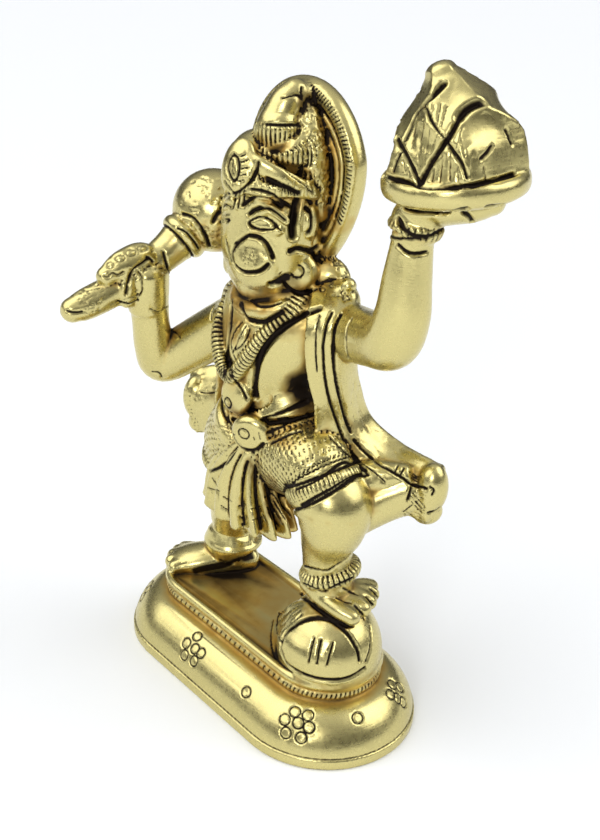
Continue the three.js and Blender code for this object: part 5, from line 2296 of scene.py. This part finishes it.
@dataclass(frozen=True)
class Studio:
    """Pale floor, soft lights and a pale surround.

    Each far light has a name, the direction it stands in, its apparent size in degrees and its
    power. The soft box is a square that points at the middle of the work. Each of the surround's
    shades is a height, 0 straight down and 1 straight up, and how pale it is there.
    """

    floor_size: float = 8.0
    floor_colour: tuple[float, ...] = (0.955, 0.975, 1.0, 1)
    floor_roughness: float = 0.7
    floor_shine: float = 0.2
    far_lights: tuple[tuple[str, Point, float, float], ...] = (
        ("window_light", (-0.5, -0.75, 0.95), 65, 1.5),
        ("back_light", (0.75, 0.75, 0.9), 50, 1.2),
    )
    box_place: Point = (0.35, -0.55, 0.35)
    box_aim: Point = (0, 0, 0.055)
    box_size: float = 0.2
    box_power: float = 1.2
    shades: Path = ((0.0, 0.6), (0.5, 0.1), (0.62, 0.12), (0.78, 0.4), (1.0, 0.8))
    surround_strength: float = 0.9

    def build(self) -> None:
        """Makes the floor, the lights and the surround."""
        s = self.floor_size / 2
        corners = np.array([[-s, -s, 0], [s, -s, 0], [s, s, 0], [-s, s, 0]])
        floor = linked("studio_floor", mesh_of("studio_floor", corners, np.array([[0, 1, 2], [0, 2, 3]])))
        paper = bpy.data.materials.new("pale_paper")
        paper.use_nodes = True
        shader = paper.node_tree.nodes["Principled BSDF"].inputs
        shader["Base Color"].default_value = self.floor_colour
        shader["Roughness"].default_value = self.floor_roughness
        shader["Specular IOR Level"].default_value = self.floor_shine
        floor.data.materials.append(paper)
        for name, place, spread, power in self.far_lights:
            sun = self._light(name, "SUN", Vector(place), Vector(), power)
            sun.angle = math.radians(spread)
        box = self._light("front_box", "AREA", Vector(self.box_place), Vector(self.box_aim), self.box_power)
        box.size = self.box_size
        self._surround()

    @staticmethod
    def _light(name: str, kind: str, place: Vector, aim: Vector, power: float) -> bpy.types.Light:
        """A light at a place that points at another.

        Args:
            name: Its name.
            kind: Blender's name for its kind.
            place: Where it stands.
            aim: Where it points.
            power: Its energy.

        Returns:
            The light's data.
        """
        data = bpy.data.lights.new(name, kind)
        data.energy = power
        light = linked(name, data)
        light.location = place
        light.rotation_euler = (aim - place).to_track_quat("-Z", "Y").to_euler()
        return data

    def _surround(self) -> None:
        """A pale surround, darkest round the horizon, for the brass to reflect."""
        world = bpy.data.worlds.new("studio_surround")
        world.use_nodes = True
        nodes = Nodes(world.node_tree)
        height = nodes.add("SeparateXYZ", Vector=nodes.add("TexCoord").outputs["Generated"]).outputs["Z"]
        ramp = nodes.add("ValToRGB", Fac=nodes.scaled(height, -1, 1))
        stops = ramp.color_ramp.elements
        while len(stops) < len(self.shades):
            stops.new(0.5)
        for stop, (position, shade) in zip(stops, self.shades):
            stop.position = position
            stop.color = (shade, shade, shade, 1)
        background = world.node_tree.nodes["Background"].inputs
        nodes.put(background["Color"], ramp.outputs["Color"])
        nodes.put(background["Strength"], self.surround_strength)
        bpy.context.scene.world = world
        bpy.context.scene.view_settings.view_transform = "Standard"


def raised(cut: Cut | PhotoCut) -> Cut | PhotoCut:
    """A figure's cut moved up from the floor's frame to the plinth's. One in the picture stays.

    Args:
        cut: The cut.

    Returns:
        The cut, raised.
    """
    if isinstance(cut, PhotoCut):
        return cut
    return replace(cut, points=cut.points + (0, 0, FLOOR_HEIGHT))


def main() -> None:
    """Builds the work, its studio and its camera."""
    logging.basicConfig(level=logging.INFO, format="%(message)s")
    rng = np.random.default_rng(SEED)
    view = StudioView()
    view.build()
    plinth, head, ornaments = Plinth(), Head(), Ornaments()
    groups: list[Group] = [
        Demon(), Legs(), Dress(), ornaments, RaisedMountain(), ShoulderedMace(), head, Crown(), LeftScarf(),
        RightScarf(),
    ]
    surfaces = [plinth.surface()]
    for group in groups:
        made = [form.surface().raised(FLOOR_HEIGHT) for form in group.forms()]
        surfaces += made
        log.info("%s: %d forms", type(group).__name__, len(made))
    casting = Casting(surfaces)
    casting.smooth(SMOOTHING_PASSES)
    tree = casting.tree()

    cuts = [raised(cut) for group in groups for cut in group.cuts(rng)] + plinth.cuts()
    rings = [(*place, plinth.punch_radius) for place in plinth.punched_rings]
    rings += [*ornaments.punched_rings, *head.punched_rings]
    laid = casting.laid(cuts, view, tree)
    laid += ring_cuts(tree, view, rings, plinth.far_punches(), plinth.punch_radius)
    log.info("cuts: %d", len(laid))
    casting.engrave(laid)
    places = [
        replace(place, centre=(*place.centre[:2], place.centre[2] + FLOOR_HEIGHT))
        for group in groups for place in group.tarnish_and_shade()
    ]
    casting.colour(rng, places, plinth.streaks(casting.points, rng))
    casting.finish(Brass().build())
    Studio().build()


if __name__ == "__main__":
    main()
